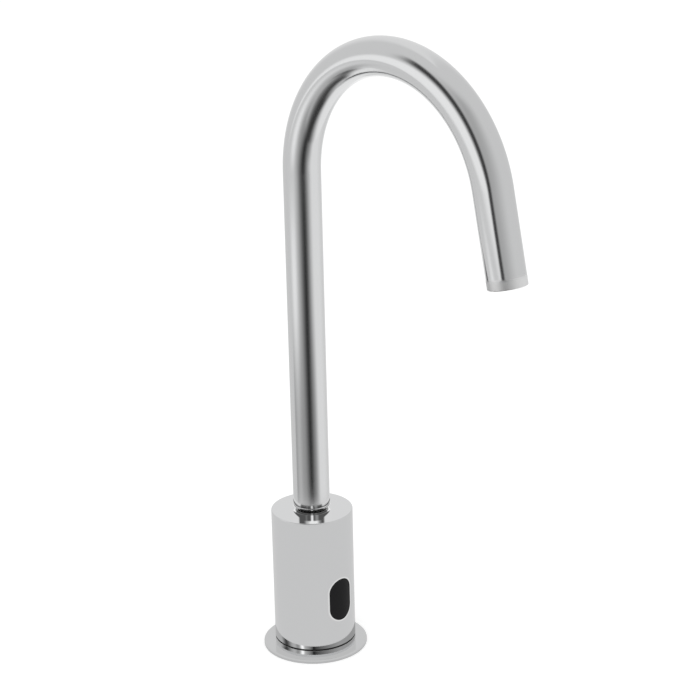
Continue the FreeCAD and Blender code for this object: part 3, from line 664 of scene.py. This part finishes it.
class TAP_OT_eye_lens(bpy.types.Operator):
    """Models the dark lens, curved like the body and set a little back in its window"""

    bl_idname = "tap.eye_lens"
    bl_label = "Eye lens"

    def execute(self, context):
        shape, finish = context.scene.tap_shape, context.scene.tap_finish
        face, back = -LENS_LOW.y, 21.0 * MM
        lip_front = BODY_RADIUS - shape.body_wall - FIT
        middle, reach, levels = shape.window_centre, 30 * MM, 30
        low, high = middle - reach, middle + reach
        wall = [(face, low + (high - low) * k / levels) for k in range(levels + 1)]
        plug = piece_from(spun_profile([(back, low), *wall, (back, high)], 2 * ROUND), "eye_lens")
        width, height = (size - 2 * shape.lens_gap for size in (shape.window_width, shape.window_height))
        outline = stadium_bar("lens_tool", width, height, middle, TOOL_FRONT, TOOL_BACK)
        carve(plug, outline, operation="INTERSECT")
        round_window(plug, face, shape.lens_round)
        lip = piece_from(spun_profile([
            (back, LENS_LOW.z), (lip_front, LENS_LOW.z), (lip_front, LENS_HIGH.z), (back, LENS_HIGH.z),
        ]), "lens_lip")
        ends = Vector((0, TOOL_BACK, middle)), Vector((0, TOOL_FRONT, middle))
        block = bar("lip_tool", 4, LENS_HIGH.x * math.sqrt(2), *ends, math.radians(45))
        taller = 2
        for vert in block.data.vertices:
            vert.co.z = middle + (vert.co.z - middle) * taller
        carve(lip, block, operation="INTERSECT")
        carve(plug, lip, operation="UNION")
        finish_piece(plug, lens_finish(finish), "base", "lens_dark", "sensor_lens")
        return {"FINISHED"}


class TAP_OT_swivel_foot(bpy.types.Operator):
    """Models the spout's turned foot with its collar and nipple"""

    bl_idname = "tap.swivel_foot"
    bl_label = "Swivel foot"

    def execute(self, context):
        shape, finish = context.scene.tap_shape, context.scene.tap_finish
        low, high = FOOT_LOW.z, FOOT_HIGH.z
        collar, collar_low = FOOT_HIGH.x, GLIDE_HIGH.z
        collar_high = collar_low + shape.collar_height
        plug = TUBE_RADIUS - shape.tube_wall - FIT
        bore, nipple = shape.waterway_radius, shape.nipple_radius
        # the foot widens under its collar, by these steps out from the nipple and up
        steps = (0, -0.4), (0.3, 0), (0.6, 0.7), (1.6, 1.5)
        taper = [(nipple + out * MM, collar_low + up * MM) for out, up in steps]
        bm = spun_profile([
            (bore, low), (nipple, low), *taper, (collar - 0.3 * MM, collar_low + 2 * MM),
            (collar, collar_low + 2.2 * MM), (collar, collar_high), (plug, collar_high), (plug, high),
            (bore, high),
        ])
        soften(bm, ring_edges(bm, collar, collar_high), shape.small_round, 3)
        foot = piece_from(bm, "swivel_foot")
        groove_floor, groove_top = nipple - 2.1 * MM, nipple + MM
        groove = spun_profile([
            (groove_floor, SCREW_LOW.z), (groove_top, SCREW_LOW.z),
            (groove_top, SCREW_HIGH.z), (groove_floor, SCREW_HIGH.z),
        ])
        front = [face for face in groove.faces if face.calc_center_median().y < 1.7 * MM]
        bmesh.ops.delete(groove, geom=front, context="FACES")
        ends = [edge for edge in groove.edges if len(edge.link_faces) == 1]
        bmesh.ops.holes_fill(groove, edges=ends)
        bmesh.ops.recalc_face_normals(groove, faces=groove.faces[:])
        carve(foot, piece_from(groove, "groove_tool"))
        polish = chrome_finish("chrome_foot", finish.chrome, finish.chrome_rough)
        finish_piece(foot, polish, "spout", "chrome_polished", "spout_adapter")
        return {"FINISHED"}


class TAP_OT_swan_neck(bpy.types.Operator):
    """Models the bent tube: upright stem, round bend and straight outlet with a rounded lip"""

    bl_idname = "tap.swan_neck"
    bl_label = "Swan neck"

    def execute(self, context):
        shape, finish = context.scene.tap_shape, context.scene.tap_finish
        crown_gap = 0.002 * MM
        stem_top = TUBE_HIGH.z - shape.bend_radius - TUBE_RADIUS - crown_gap
        bm = bmesh.new()
        ends = []
        for radius in (TUBE_RADIUS, TUBE_RADIUS - shape.tube_wall):
            ends.append(self.wall(bm, shape, radius, stem_top))
        for pair in zip(*ends):
            bmesh.ops.bridge_loops(bm, edges=[edge for ring in pair for edge in ring])
        bmesh.ops.recalc_face_normals(bm, faces=bm.faces[:])
        outlet_rim = [edge for edge in ends[0][1] if edge.is_valid]
        soften(bm, outlet_rim, shape.tube_lip, 4)
        neck = piece_from(bm, "swan_neck")
        bend = Vector((0, math.cos(shape.bend_angle) - 1, math.sin(shape.bend_angle))) * shape.bend_radius
        down = self.down(shape)
        end = Vector((0, 0, stem_top)) + bend + down * shape.outlet_length
        polish = chrome_finish("chrome_tube", finish.chrome, finish.tube_rough, (end, down))
        finish_piece(neck, polish, "spout", "chrome_polished", "spout_tube")
        return {"FINISHED"}

    def down(self, shape):
        """Direction in which the outlet points."""
        return Vector((0, -math.sin(shape.bend_angle), math.cos(shape.bend_angle)))

    def wall(self, bm, shape, radius, stem_top):
        """One skin of the tube. Returns the edges of its two ends."""
        made = bmesh.ops.create_circle(bm, cap_ends=False, segments=FINE_ROUND, radius=radius)
        foot_ring = ring = list({edge for vert in made["verts"] for edge in vert.link_edges})
        bmesh.ops.translate(bm, verts=made["verts"], vec=(0, 0, TUBE_LOW.z))
        ring = self.extend(bm, ring, Vector((0, 0, 1)), stem_top - TUBE_LOW.z, steps=24)
        centre = (0, -shape.bend_radius, stem_top)
        grown = bmesh.ops.spin(
            bm, geom=ring + list({vert for edge in ring for vert in edge.verts}), cent=centre,
            axis=(1, 0, 0), angle=shape.bend_angle, steps=140, use_merge=False,
            use_normal_flip=False, use_duplicate=False,
        )
        ring = [item for item in grown["geom_last"] if isinstance(item, bmesh.types.BMEdge)]
        outlet_ring = self.extend(bm, ring, self.down(shape), shape.outlet_length, steps=10)
        return foot_ring, outlet_ring

    def extend(self, bm, ring, direction, distance, steps):
        """Carries a ring of edges straight on."""
        for _ in range(steps):
            grown = bmesh.ops.extrude_edge_only(bm, edges=ring)["geom"]
            verts = [item for item in grown if isinstance(item, bmesh.types.BMVert)]
            bmesh.ops.translate(bm, verts=verts, vec=direction * (distance / steps))
            ring = [
                item for item in grown
                if isinstance(item, bmesh.types.BMEdge) and all(vert in verts for vert in item.verts)
            ]
        return ring


class TAP_OT_dark_rings(bpy.types.Operator):
    """Models the black seal line at the foot and the dark ring that the spout turns on"""

    bl_idname = "tap.dark_rings"
    bl_label = "Dark rings"

    def execute(self, context):
        shape, finish = context.scene.tap_shape, context.scene.tap_finish
        rubber = rubber_finish(finish)
        seal_inner, glide_inner = BODY_RADIUS - shape.body_wall, shape.socket_radius
        glide_outer, seal_base = glide_inner + 0.8 * MM, SEAL_LOW.z - shape.seal_extra
        for name, node, inner, outer, base, top, rims in (
            ("foot_seal", "body_seal", seal_inner, SEAL_HIGH.x, seal_base, SEAL_HIGH.z, [SEAL_HIGH.z]),
            ("glide_ring", "slide_ring", glide_inner, glide_outer, GLIDE_LOW.z, GLIDE_HIGH.z,
             [GLIDE_LOW.z, GLIDE_HIGH.z]),
        ):
            bm = spun_profile([(inner, base), (outer, base), (outer, top), (inner, top)])
            for height in rims:
                soften(bm, ring_edges(bm, outer, height), shape.small_round, 3)
            finish_piece(piece_from(bm, name), rubber, "base", "seal_black", node)
        return {"FINISHED"}


class TAP_OT_return_spring(bpy.types.Operator):
    """Models the plunger's return spring as a coil of wire"""

    bl_idname = "tap.return_spring"
    bl_label = "Return spring"

    def execute(self, context):
        finish = context.scene.tap_finish
        wire, outer = 0.35 * MM, (SPRING_HIGH.z - SPRING_LOW.z) / 2
        centre = (SPRING_LOW + SPRING_HIGH) / 2
        turns, turn_steps, wire_round = 5, 28, 12
        travel = SPRING_HIGH.x - SPRING_LOW.x - 2 * wire
        bm = bmesh.new()
        bmesh.ops.create_circle(bm, cap_ends=True, segments=wire_round, radius=wire)
        bm.transform(
            Matrix.Translation((SPRING_LOW.x + wire, centre.y, centre.z + outer - wire))
            @ Matrix.Rotation(math.pi / 2, 4, "Y") @ Matrix.Rotation(math.pi / 2, 4, "X")
        )
        steps = turns * turn_steps
        bmesh.ops.spin(
            bm, geom=bm.verts[:] + bm.edges[:] + bm.faces[:], cent=centre, axis=(1, 0, 0),
            dvec=(travel / steps, 0, 0), angle=math.tau * turns, steps=steps,
            use_merge=False, use_normal_flip=False, use_duplicate=False,
        )
        bmesh.ops.remove_doubles(bm, verts=bm.verts[:], dist=SAME)
        bmesh.ops.recalc_face_normals(bm, faces=bm.faces[:])
        spring = piece_from(bm, "return_spring")
        steel = machined_finish("spring_steel", finish.steel, 0.2, "X")
        finish_piece(spring, steel, "base", "steel_bare", "plunger_spring")
        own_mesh(spring)
        return {"FINISHED"}


class TAP_OT_inner_finishes(bpy.types.Operator):
    """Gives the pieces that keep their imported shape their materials"""

    bl_idname = "tap.inner_finishes"
    bl_label = "Inner finishes"

    def execute(self, context):
        finish = context.scene.tap_finish
        steel_x = machined_finish("steel_turned", finish.steel, 0.22, "X")
        steel_z = machined_finish("steel_sheet", finish.steel, 0.26, "Z")
        dark = plastic_finish("plastic_dark", finish.plastic, 0.45)
        clear = plastic_finish("diode_clear", finish.diode, 0.12)
        rubber = rubber_finish(finish)
        pale = plastic_finish("plastic_pale", finish.pale_plastic, 0.4)
        materials = {
            "cable_grommet": rubber,
            "spout_seal": rubber,
            "diaphragm": rubber,
            "stop_screw": machined_finish("steel_screw", finish.steel, 0.24, "Y"),
            "aerator_cup": pale,
            "flow_regulator": pale,
            "aerator_screen": mesh_finish("steel_gauze", finish.steel),
            "inlet_screen": mesh_finish("inlet_gauze", finish.steel),
            "sensor_housing": dark,
            "eye_divider": dark,
            "valve_bonnet": dark,
            "sensor_board": board_finish(finish),
            "ir_emitter": clear,
            "ir_receiver": clear,
            "status_led": plastic_finish("lamp_red", finish.lamp, 0.15),
            "sensor_clip": steel_z,
            "coil_yoke": steel_z,
            "plunger": steel_x,
            "coil": winding_finish(finish),
            "valve_body": machined_finish("brass_cast", finish.brass, 0.32, "Z"),
            "inlet_connector": machined_finish("brass_turned", finish.brass, 0.24, "Z"),
        }
        for node, material in materials.items():
            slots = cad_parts[node].data.materials
            slots.clear()
            slots.append(material)
        return {"FINISHED"}


# What the chrome mirrors. Bearings are in degrees from the camera's side, positive to its right. A strip is
# the bearing of its middle, its half width and its strength, and a pair is where a soft step starts and ends.

# cone from the body's top rim down to the floor, along the rays that the body mirrors: radius and height
CONE_INNER, CONE_OUTER = (0.0262, 0.0878), (0.229, 0.0)
# steeper cone that only the bend mirrors, because it shows from above alone
ARCH_INNER, ARCH_OUTER = (0.014, 0.2352), (0.35, 0.0)
# the dark arch on it: steps by bearing and by radius, and the degrees by which its left side leans in
ARCH_LEFT, ARCH_RIGHT, ARCH_RADIUS = (-108, -86), (16, 82), (-0.012, 0.052)
ARCH_LEAN, LEAN_RADIUS = 13, (0.02, 0.20)
ARCH_PLAIN, ARCH_DEPTH = 0.92, 0.95
# the light gap in the arch and the dim field left of it
GAP_LEFT, GAP_RIGHT, GAP_RADIUS, GAP_LIGHT = (-92, -68), (-45, 8), (0.03, 0.25), 0.46
DIM_EDGE, DIM_RADIUS, DIM_DEPTH = (-130, -105), (0.05, 0.25), 0.2
# height of a card over the face that mirrors it
CARD_GAP = 0.08 * MM
# card over the flange that the foot of the body mirrors: its reach, its spread by metre and its columns
FOOT_REACH, FOOT_SPREAD = 35.6 * MM, 31
FOOT_PLAIN, FOOT_DROP, FOOT_DARKEST, FOOT_CURVE = 0.5, 0.13, 0.02, 0.8
LEFT_POST, FAINT_POST, BRIGHT_STRIP = (-48, 15, 0.88), (-27, 5, 0.35), (-19.5, 4.5, 0.7)
# middle of the dark post, and its reach to the left and to the right
MIDDLE_POST = (-3.5, 12, 38)
# tone of the card round the body's foot, that the flange mirrors
MASK_TONE = 0.62
# two dark groups either side of a bright gap, round the foot of the spout
STREAKS_LEFT, STREAKS_RIGHT = (-46, -38), (34, 43)
STREAK_PLAIN, STREAK_DARK = 0.83, 0.10
STREAK_STRIPS = ((0, 6, 0.95), (14, 9, 0.22), (-17, 5, 0.08))
# how the streaks are drawn in on the body's top, and the ring-shaped line and light on it, by radius
TOP_NARROWING, COLLAR_LINE = 1.35, (18.8 * MM, 2.8 * MM, 0.95)
INNER_TOP, INNER_FADE, INNER_LIGHT = 15.5 * MM, 3 * MM, 0.3
# degrees by which the streaks flare out at the body's top
FLARE = 30
# middle of the dark wedge that the stem mirrors as its stripe, and its reach to the left and to the right
WEDGE = (6, 65, 56)
WEDGE_PLAIN, WEDGE_RISE, WEDGE_DARKEST = 0.69, 0.17, 0.05
# bright field left of the wedge, up to a radius, dimmer field and lighter one behind the tap
LEFT_FIELD, LEFT_FIELD_END = (-68, 32, 0.28), (0.85, 1.15)
DIM_FIELD, BEHIND, BEHIND_LIGHT = (138, 48, 0.12), (145, 178), 0.22
# dusk on the floor near the tap, up to a radius, and the darker ring beside the flange
DUSK_RADIUS, DUSK_LEFT, DUSK_RIGHT, DUSK_DEPTH = (0.38, 0.72), (-101, -91), (-55, -10), 0.45
RIGHT_DUSK = (36, 30, 0.3)
RING_WIDTH, RING_DEPTH = 4.5 * MM, 0.1
# dome, and the dark seam on it: an arc of so many degrees round a point to the camera's left
TENT_RADIUS, TENT_HEIGHT = 1.5, 0.25
SEAM_SIDE, SEAM_LOW, SEAM, SEAM_TONE = math.radians(-68), math.radians(-10), 53.3, 0.05
SEAM_INNER, SEAM_OUTER = -4, (2.5, 13)
SEAM_SOFT, SEAM_CRISPER, CRISP_HEIGHT, CRISP_LEFT = 20, 9, (-0.02, 0.35), (-80, -50)
SEAM_LEFT = (-92, -74)
# shade in the plain part, light behind the tap, and the dimmer foot of the bright part
TENT_SHADE, SHADE_HEIGHT = (-5, 70, 0.24), (1.2, 1.45)
TENT_BEHIND, TENT_BEHIND_LIGHT = (135, 170), 0.13
TENT_FOOT, TENT_FOOT_LEFT = (-0.26, -0.08), (-95, -80)


class TAP_OT_studio(bpy.types.Operator):
    """Sets the floor, the light tent that the chrome mirrors, the lamp, the background and the camera"""

    bl_idname = "tap.studio"
    bl_label = "Studio"

    def execute(self, context):
        studio = context.scene.tap_studio
        self.floor(studio)
        self.cards(studio)
        self.tent(studio)
        self.lamp(studio)
        self.sky(context, studio)
        self.camera(context, studio)
        return {"FINISHED"}

    def camera_side(self, finish, studio, vector):
        """Bearing from the camera's side, distance from the axis and height."""
        x, y, z = finish.axes(vector)
        sine, cosine = math.sin(studio.azimuth), math.cos(studio.azimuth)
        right = x * cosine - y * sine
        near = x * -sine - y * cosine
        bearing = finish.node("Math", {"operation": "ARCTAN2"}, [right, near]) * DEGREES
        return bearing, (right * right + near * near) ** 0.5, z

    def glow(self, finish, tone, side="BOTH"):
        """Plain light of that tone, from the card's FRONT, BACK or BOTH."""
        shine = finish.node("Emission", values={"Color": finish.tint(tone), "Strength": 1.0})
        if side != "BOTH":
            back = finish.node("NewGeometry", output="Backfacing")
            clear = finish.node("BsdfTransparent")
            pair = [shine, clear] if side == "FRONT" else [clear, shine]
            shine = finish.node("MixShader", values=[back, *pair])
        finish.node_output(shine)
        finish.material.cycles.emission_sampling = "NONE"

    def mirrored_only(self, card, material):
        """A card that only shows in the chrome."""
        card.data.materials.append(material)
        card.data.shade_smooth()
        for ray in ("camera", "diffuse", "transmission", "volume_scatter", "shadow"):
            setattr(card, f"visible_{ray}", False)

    def ring_card(self, name, inner, outer):
        """A band about the tap's axis, from one radius and height to another, facing up or outwards."""
        bm = bmesh.new()
        pair = [bm.verts.new((radius, 0, height)) for radius, height in (inner, outer)]
        bm.edges.new(pair)
        full_turn(bm)
        bm.faces.ensure_lookup_table()
        face = bm.faces[0]
        face.normal_update()
        if face.normal.dot(face.calc_center_median() + Vector((0, 0, 1))) < 0:
            bmesh.ops.reverse_faces(bm, faces=bm.faces[:])
        return piece_from(bm, name)

    def arch(self, f, bearing, radius, _):
        """What the bend mirrors from above: a dark arch with a light gap in it."""
        lean = ARCH_LEAN * (1 - f.step(radius, *LEAN_RADIUS))
        dark = f.step(bearing - lean, *ARCH_LEFT) * (1 - f.step(bearing, *ARCH_RIGHT))
        dark = dark * f.step(radius, *ARCH_RADIUS)
        gap = f.band(bearing, GAP_LEFT, GAP_RIGHT) * f.step(radius, *GAP_RADIUS) * GAP_LIGHT
        plain = ARCH_PLAIN - DIM_DEPTH * f.step(radius, *DIM_RADIUS) * (1 - f.step(bearing, *DIM_EDGE))
        return plain * (1 - dark * ARCH_DEPTH) + gap

    def columns(self, f, bearing, radius, _):
        """Upright strips that the foot mirrors, which spread outwards on their card."""
        bearing = bearing / (1 + (radius - BODY_RADIUS) * FOOT_SPREAD)
        tone = FOOT_PLAIN - bearing.over(MIDDLE_POST[0]) * FOOT_DROP
        tone = tone * (1 - bearing.strip(*LEFT_POST)) * (1 - bearing.strip(*FAINT_POST))
        tone = tone + bearing.strip(*BRIGHT_STRIP)
        return tone * (bearing.away(*MIDDLE_POST).least(1) ** FOOT_CURVE).from_dark(FOOT_DARKEST)

    def streaks(self, f, bearing, flare=0):
        """Two dark groups either side of a bright gap, that the top of the body mirrors round the spout."""
        group = f.step(bearing + flare, *STREAKS_LEFT) * (1 - f.step(bearing - flare, *STREAKS_RIGHT))
        inner = sum((bearing.strip(*strip) for strip in STREAK_STRIPS), STREAK_DARK)
        return (1 - group) * STREAK_PLAIN + group * inner

    def top_streaks(self, f, bearing, radius, _):
        inner = (1 - radius.over(INNER_TOP, INNER_FADE)) * INNER_LIGHT
        return self.streaks(f, bearing / TOP_NARROWING) * (1 - radius.strip(*COLLAR_LINE)) + inner

    def stem_streaks(self, f, bearing, _, z):
        """The streaks round the stem, flared at the body's top, with a light spot above them."""
        top = SHELL_HIGH.z
        flare = (1 - f.step(z, top, top + 2.6 * MM)) * FLARE
        spot = bearing.hump(2, 30) * f.step(z, top + 3.3 * MM, top + 4.3 * MM)
        return (self.streaks(f, bearing, flare) + spot).least(1)

    def neck_streaks(self, f, bearing, _, z):
        """The streaks under the collar, lighter, with a dark line close to the body's top."""
        dark = z.strip(SHELL_HIGH.z + 0.5 * MM, 0.8 * MM, 0.8)
        return (self.streaks(f, bearing, FLARE) + 0.2) * (1 - dark)

    def wedge(self, f, bearing, radius):
        """Dark wedge beside the camera, with a bright field left of it."""
        away = f.step(bearing.away(*WEDGE), 0, 1)
        field = bearing.strip(*LEFT_FIELD) * (1 - f.step(radius, *LEFT_FIELD_END))
        plain = WEDGE_PLAIN + bearing.over(WEDGE[0]) * WEDGE_RISE + field - bearing.strip(*DIM_FIELD)
        behind = f.step(bearing.absolute(), *BEHIND) * BEHIND_LIGHT
        return (plain + behind) * away.from_dark(WEDGE_DARKEST)

    def floor(self, studio):
        bm = bmesh.new()
        bmesh.ops.create_grid(bm, x_segments=1, y_segments=1, size=6)
        bmesh.ops.translate(bm, verts=bm.verts[:], vec=(0, 0, -0.1 * MM))
        floor = piece_from(bm, "floor")
        f = Finish("studio_floor")
        bearing, radius, _ = self.camera_side(f, studio, f.place())
        beyond = radius.over(CONE_OUTER[0])
        dusk = f.band(bearing, DUSK_LEFT, DUSK_RIGHT) * DUSK_DEPTH + bearing.strip(*RIGHT_DUSK)
        dusk = dusk * (1 - f.step(radius, *DUSK_RADIUS))
        near = studio.near_tone - (1 - radius.over(FLANGE_HIGH.x + RING_WIDTH)) * RING_DEPTH
        tone = (1 - beyond) * near + beyond * self.wedge(f, bearing, radius) * (1 - dusk)
        mirrored = f.node("Emission", values={"Color": tone, "Strength": 1.0})
        ray = f.node("LightPath", output="Is Camera Ray")
        lift = f.node("Emission", values={"Strength": ray * studio.floor_lift})
        base = f.node("BsdfDiffuse", values={"Color": (*studio.floor, 1)})
        plain = f.node("AddShader", values=[base, lift])
        glossy = f.node("LightPath", output="Is Glossy Ray")
        f.node_output(f.node("MixShader", values=[glossy, plain, mirrored]))
        floor.data.materials.append(f.material)

    def cards(self, studio):
        """Cards close to the tap, for what its own chrome faces mirror of each other and of the floor."""
        shape = bpy.context.scene.tap_shape
        flange_top, top = shape.flange_thick + CARD_GAP, SHELL_HIGH.z + CARD_GAP
        wall, stem, neck = BODY_RADIUS + CARD_GAP, FOOT_HIGH.x + 0.42 * MM, shape.nipple_radius + MM
        for name, side, inner, outer, tone in (
            ("cone_under", "BACK", CONE_INNER, CONE_OUTER, studio.near_tone),
            ("cone_top", "FRONT", ARCH_INNER, ARCH_OUTER, self.arch),
            ("flange_card", "FRONT", (wall, flange_top), (FOOT_REACH, flange_top), self.columns),
            ("foot_mask", "FRONT", (wall, SEAL_LOW.z - 1.6 * MM), (wall, SHELL_LOW.z + 6 * MM), MASK_TONE),
            ("top_card", "FRONT", (stem - 0.02 * MM, top), (BODY_RADIUS - 0.5 * MM, top), self.top_streaks),
            ("streak_card", "FRONT", (stem, top), (stem, SHELL_HIGH.z + 8 * MM), self.stem_streaks),
            ("neck_card", "BACK", (neck, top), (stem - 0.12 * MM, GLIDE_HIGH.z + 2 * MM), self.neck_streaks),
        ):
            f = Finish(name)
            if callable(tone):
                tone = tone(f, *self.camera_side(f, studio, f.place()))
            self.glow(f, tone, side)
            self.mirrored_only(self.ring_card(name, inner, outer), f.material)

    def tent(self, studio):
        """Dome that only the chrome sees."""
        bm = bmesh.new()
        bmesh.ops.create_uvsphere(bm, u_segments=64, v_segments=32, radius=TENT_RADIUS)
        bmesh.ops.translate(bm, verts=bm.verts[:], vec=(0, 0, TENT_HEIGHT))
        tent = piece_from(bm, "light_tent")
        f = Finish("tent_cloth")
        self.glow(f, self.cloth(f, studio))
        self.mirrored_only(tent, f.material)

    def cloth(self, f, studio):
        """Tone of the tent: a bright part inside an arched dark seam, and a plain part outside it."""
        middle = {"Vector": f.place(), "Location": (0, 0, -TENT_HEIGHT)}
        centred = f.node("Mapping", {"vector_type": "POINT"}, middle)
        bearing, _, up = self.camera_side(f, studio, centred)
        aim = Vector((0, -math.cos(SEAM_LOW), math.sin(SEAM_LOW)))
        aim.rotate(Matrix.Rotation(SEAM_SIDE - studio.azimuth, 3, "Z"))
        toward = f.node("VectorMath", {"operation": "DOT_PRODUCT"}, [centred, aim], output="Value")
        angle = (toward / TENT_RADIUS).most(-1).least(1).maths("ARCCOSINE") * DEGREES
        plain = studio.tent_plain - bearing.strip(*TENT_SHADE) * (1 - f.step(up, *SHADE_HEIGHT))
        plain = plain + f.step(bearing.absolute(), *TENT_BEHIND) * TENT_BEHIND_LIGHT
        crisp = (1 - f.step(up, *CRISP_HEIGHT)) * f.step(bearing, *CRISP_LEFT)
        soft = SEAM_SOFT - crisp * SEAM_CRISPER
        inside = 1 - f.step(angle + soft, SEAM + SEAM_INNER, SEAM + SEAM_INNER + soft)
        foot = (1 - f.step(up, *TENT_FOOT)) * f.step(bearing, *TENT_FOOT_LEFT)
        bright = studio.tent_bright - foot * (studio.tent_bright - studio.tent_plain)
        outside = f.step(angle, SEAM + SEAM_OUTER[0], SEAM + SEAM_OUTER[1])
        seam = (1 - inside) * (1 - outside) * SEAM_TONE
        seen = f.step(bearing, *SEAM_LEFT)
        left = ((1 - seen) * plain).most(inside * (1 - seen) * bright)
        return (inside * bright + outside * plain + seam) * seen + left

    def lamp(self, studio):
        data = bpy.data.lights.new("soft_lamp", "AREA")
        data.size, data.energy = 0.8, studio.lamp
        lamp = bpy.data.objects.new("soft_lamp", data)
        lamp.location = (-0.5, -0.4, 1.1)
        lamp.rotation_euler = (-lamp.location).to_track_quat("-Z", "Y").to_euler()
        lamp.visible_glossy = False
        bpy.context.scene.collection.objects.link(lamp)

    def sky(self, context, studio):
        world = bpy.data.worlds.new("plain_room")
        world.use_nodes = True
        f = Finish.__new__(Finish)
        f.open(world.node_tree)
        seen = f.node("LightPath", output="Is Camera Ray")
        for kind in ("Is Glossy Ray", "Is Transmission Ray"):
            seen = seen.most(f.node("LightPath", output=kind))
        strength = seen * (1 - studio.sky) + studio.sky
        shine = f.node("Background", values={"Color": (*WHITE, 1), "Strength": strength})
        f.node_output(shine, "OutputWorld")
        context.scene.world = world
        context.scene.view_settings.view_transform = "Standard"

    def camera(self, context, studio):
        data = bpy.data.cameras.new("camera")
        data.sensor_width, data.lens = 36, studio.lens
        data.clip_start, data.clip_end = 0.05, 50
        camera = bpy.data.objects.new("camera", data)
        reach = studio.distance * math.cos(studio.elevation)
        place = Vector((
            -reach * math.sin(studio.azimuth), -reach * math.cos(studio.azimuth),
            studio.target_height + studio.distance * math.sin(studio.elevation),
        ))
        aim = (
            Matrix.Rotation(-studio.azimuth - studio.yaw, 4, "Z")
            @ Matrix.Rotation(math.pi / 2 - studio.pitch, 4, "X")
            @ Matrix.Rotation(studio.roll, 4, "Z")
        )
        camera.matrix_world = Matrix.Translation(place) @ aim
        context.scene.collection.objects.link(camera)
        context.scene.camera = camera


OPERATORS = (
    TAP_OT_deck_flange, TAP_OT_tap_body, TAP_OT_eye_lens, TAP_OT_swivel_foot, TAP_OT_swan_neck,
    TAP_OT_dark_rings, TAP_OT_return_spring, TAP_OT_inner_finishes, TAP_OT_studio,
)


class TAP_PT_sidebar(bpy.types.Panel):
    """Lists the tap's operators, sizes, colours and light"""

    bl_label = "Sensor tap"
    bl_idname = "TAP_PT_sidebar"
    bl_space_type = "VIEW_3D"
    bl_region_type = "UI"
    bl_category = "Tap"

    def draw(self, context):
        for operator in OPERATORS:
            self.layout.operator(operator.bl_idname)
        for group in (context.scene.tap_shape, context.scene.tap_finish, context.scene.tap_studio):
            box = self.layout.box()
            for name in group.__annotations__:
                box.prop(group, name)


CLASSES = (TapShape, TapFinish, TapStudio, *OPERATORS, TAP_PT_sidebar)


def register():
    for cls in CLASSES:
        bpy.utils.register_class(cls)
    bpy.types.Scene.tap_shape = PointerProperty(type=TapShape)
    bpy.types.Scene.tap_finish = PointerProperty(type=TapFinish)
    bpy.types.Scene.tap_studio = PointerProperty(type=TapStudio)


def unregister():
    for name in ("tap_shape", "tap_finish", "tap_studio"):
        delattr(bpy.types.Scene, name)
    for cls in reversed(CLASSES):
        bpy.utils.unregister_class(cls)


def main():
    register()
    for operator in OPERATORS:
        group, name = operator.bl_idname.split(".")
        getattr(getattr(bpy.ops, group), name)()


if __name__ == "__main__":
    main()
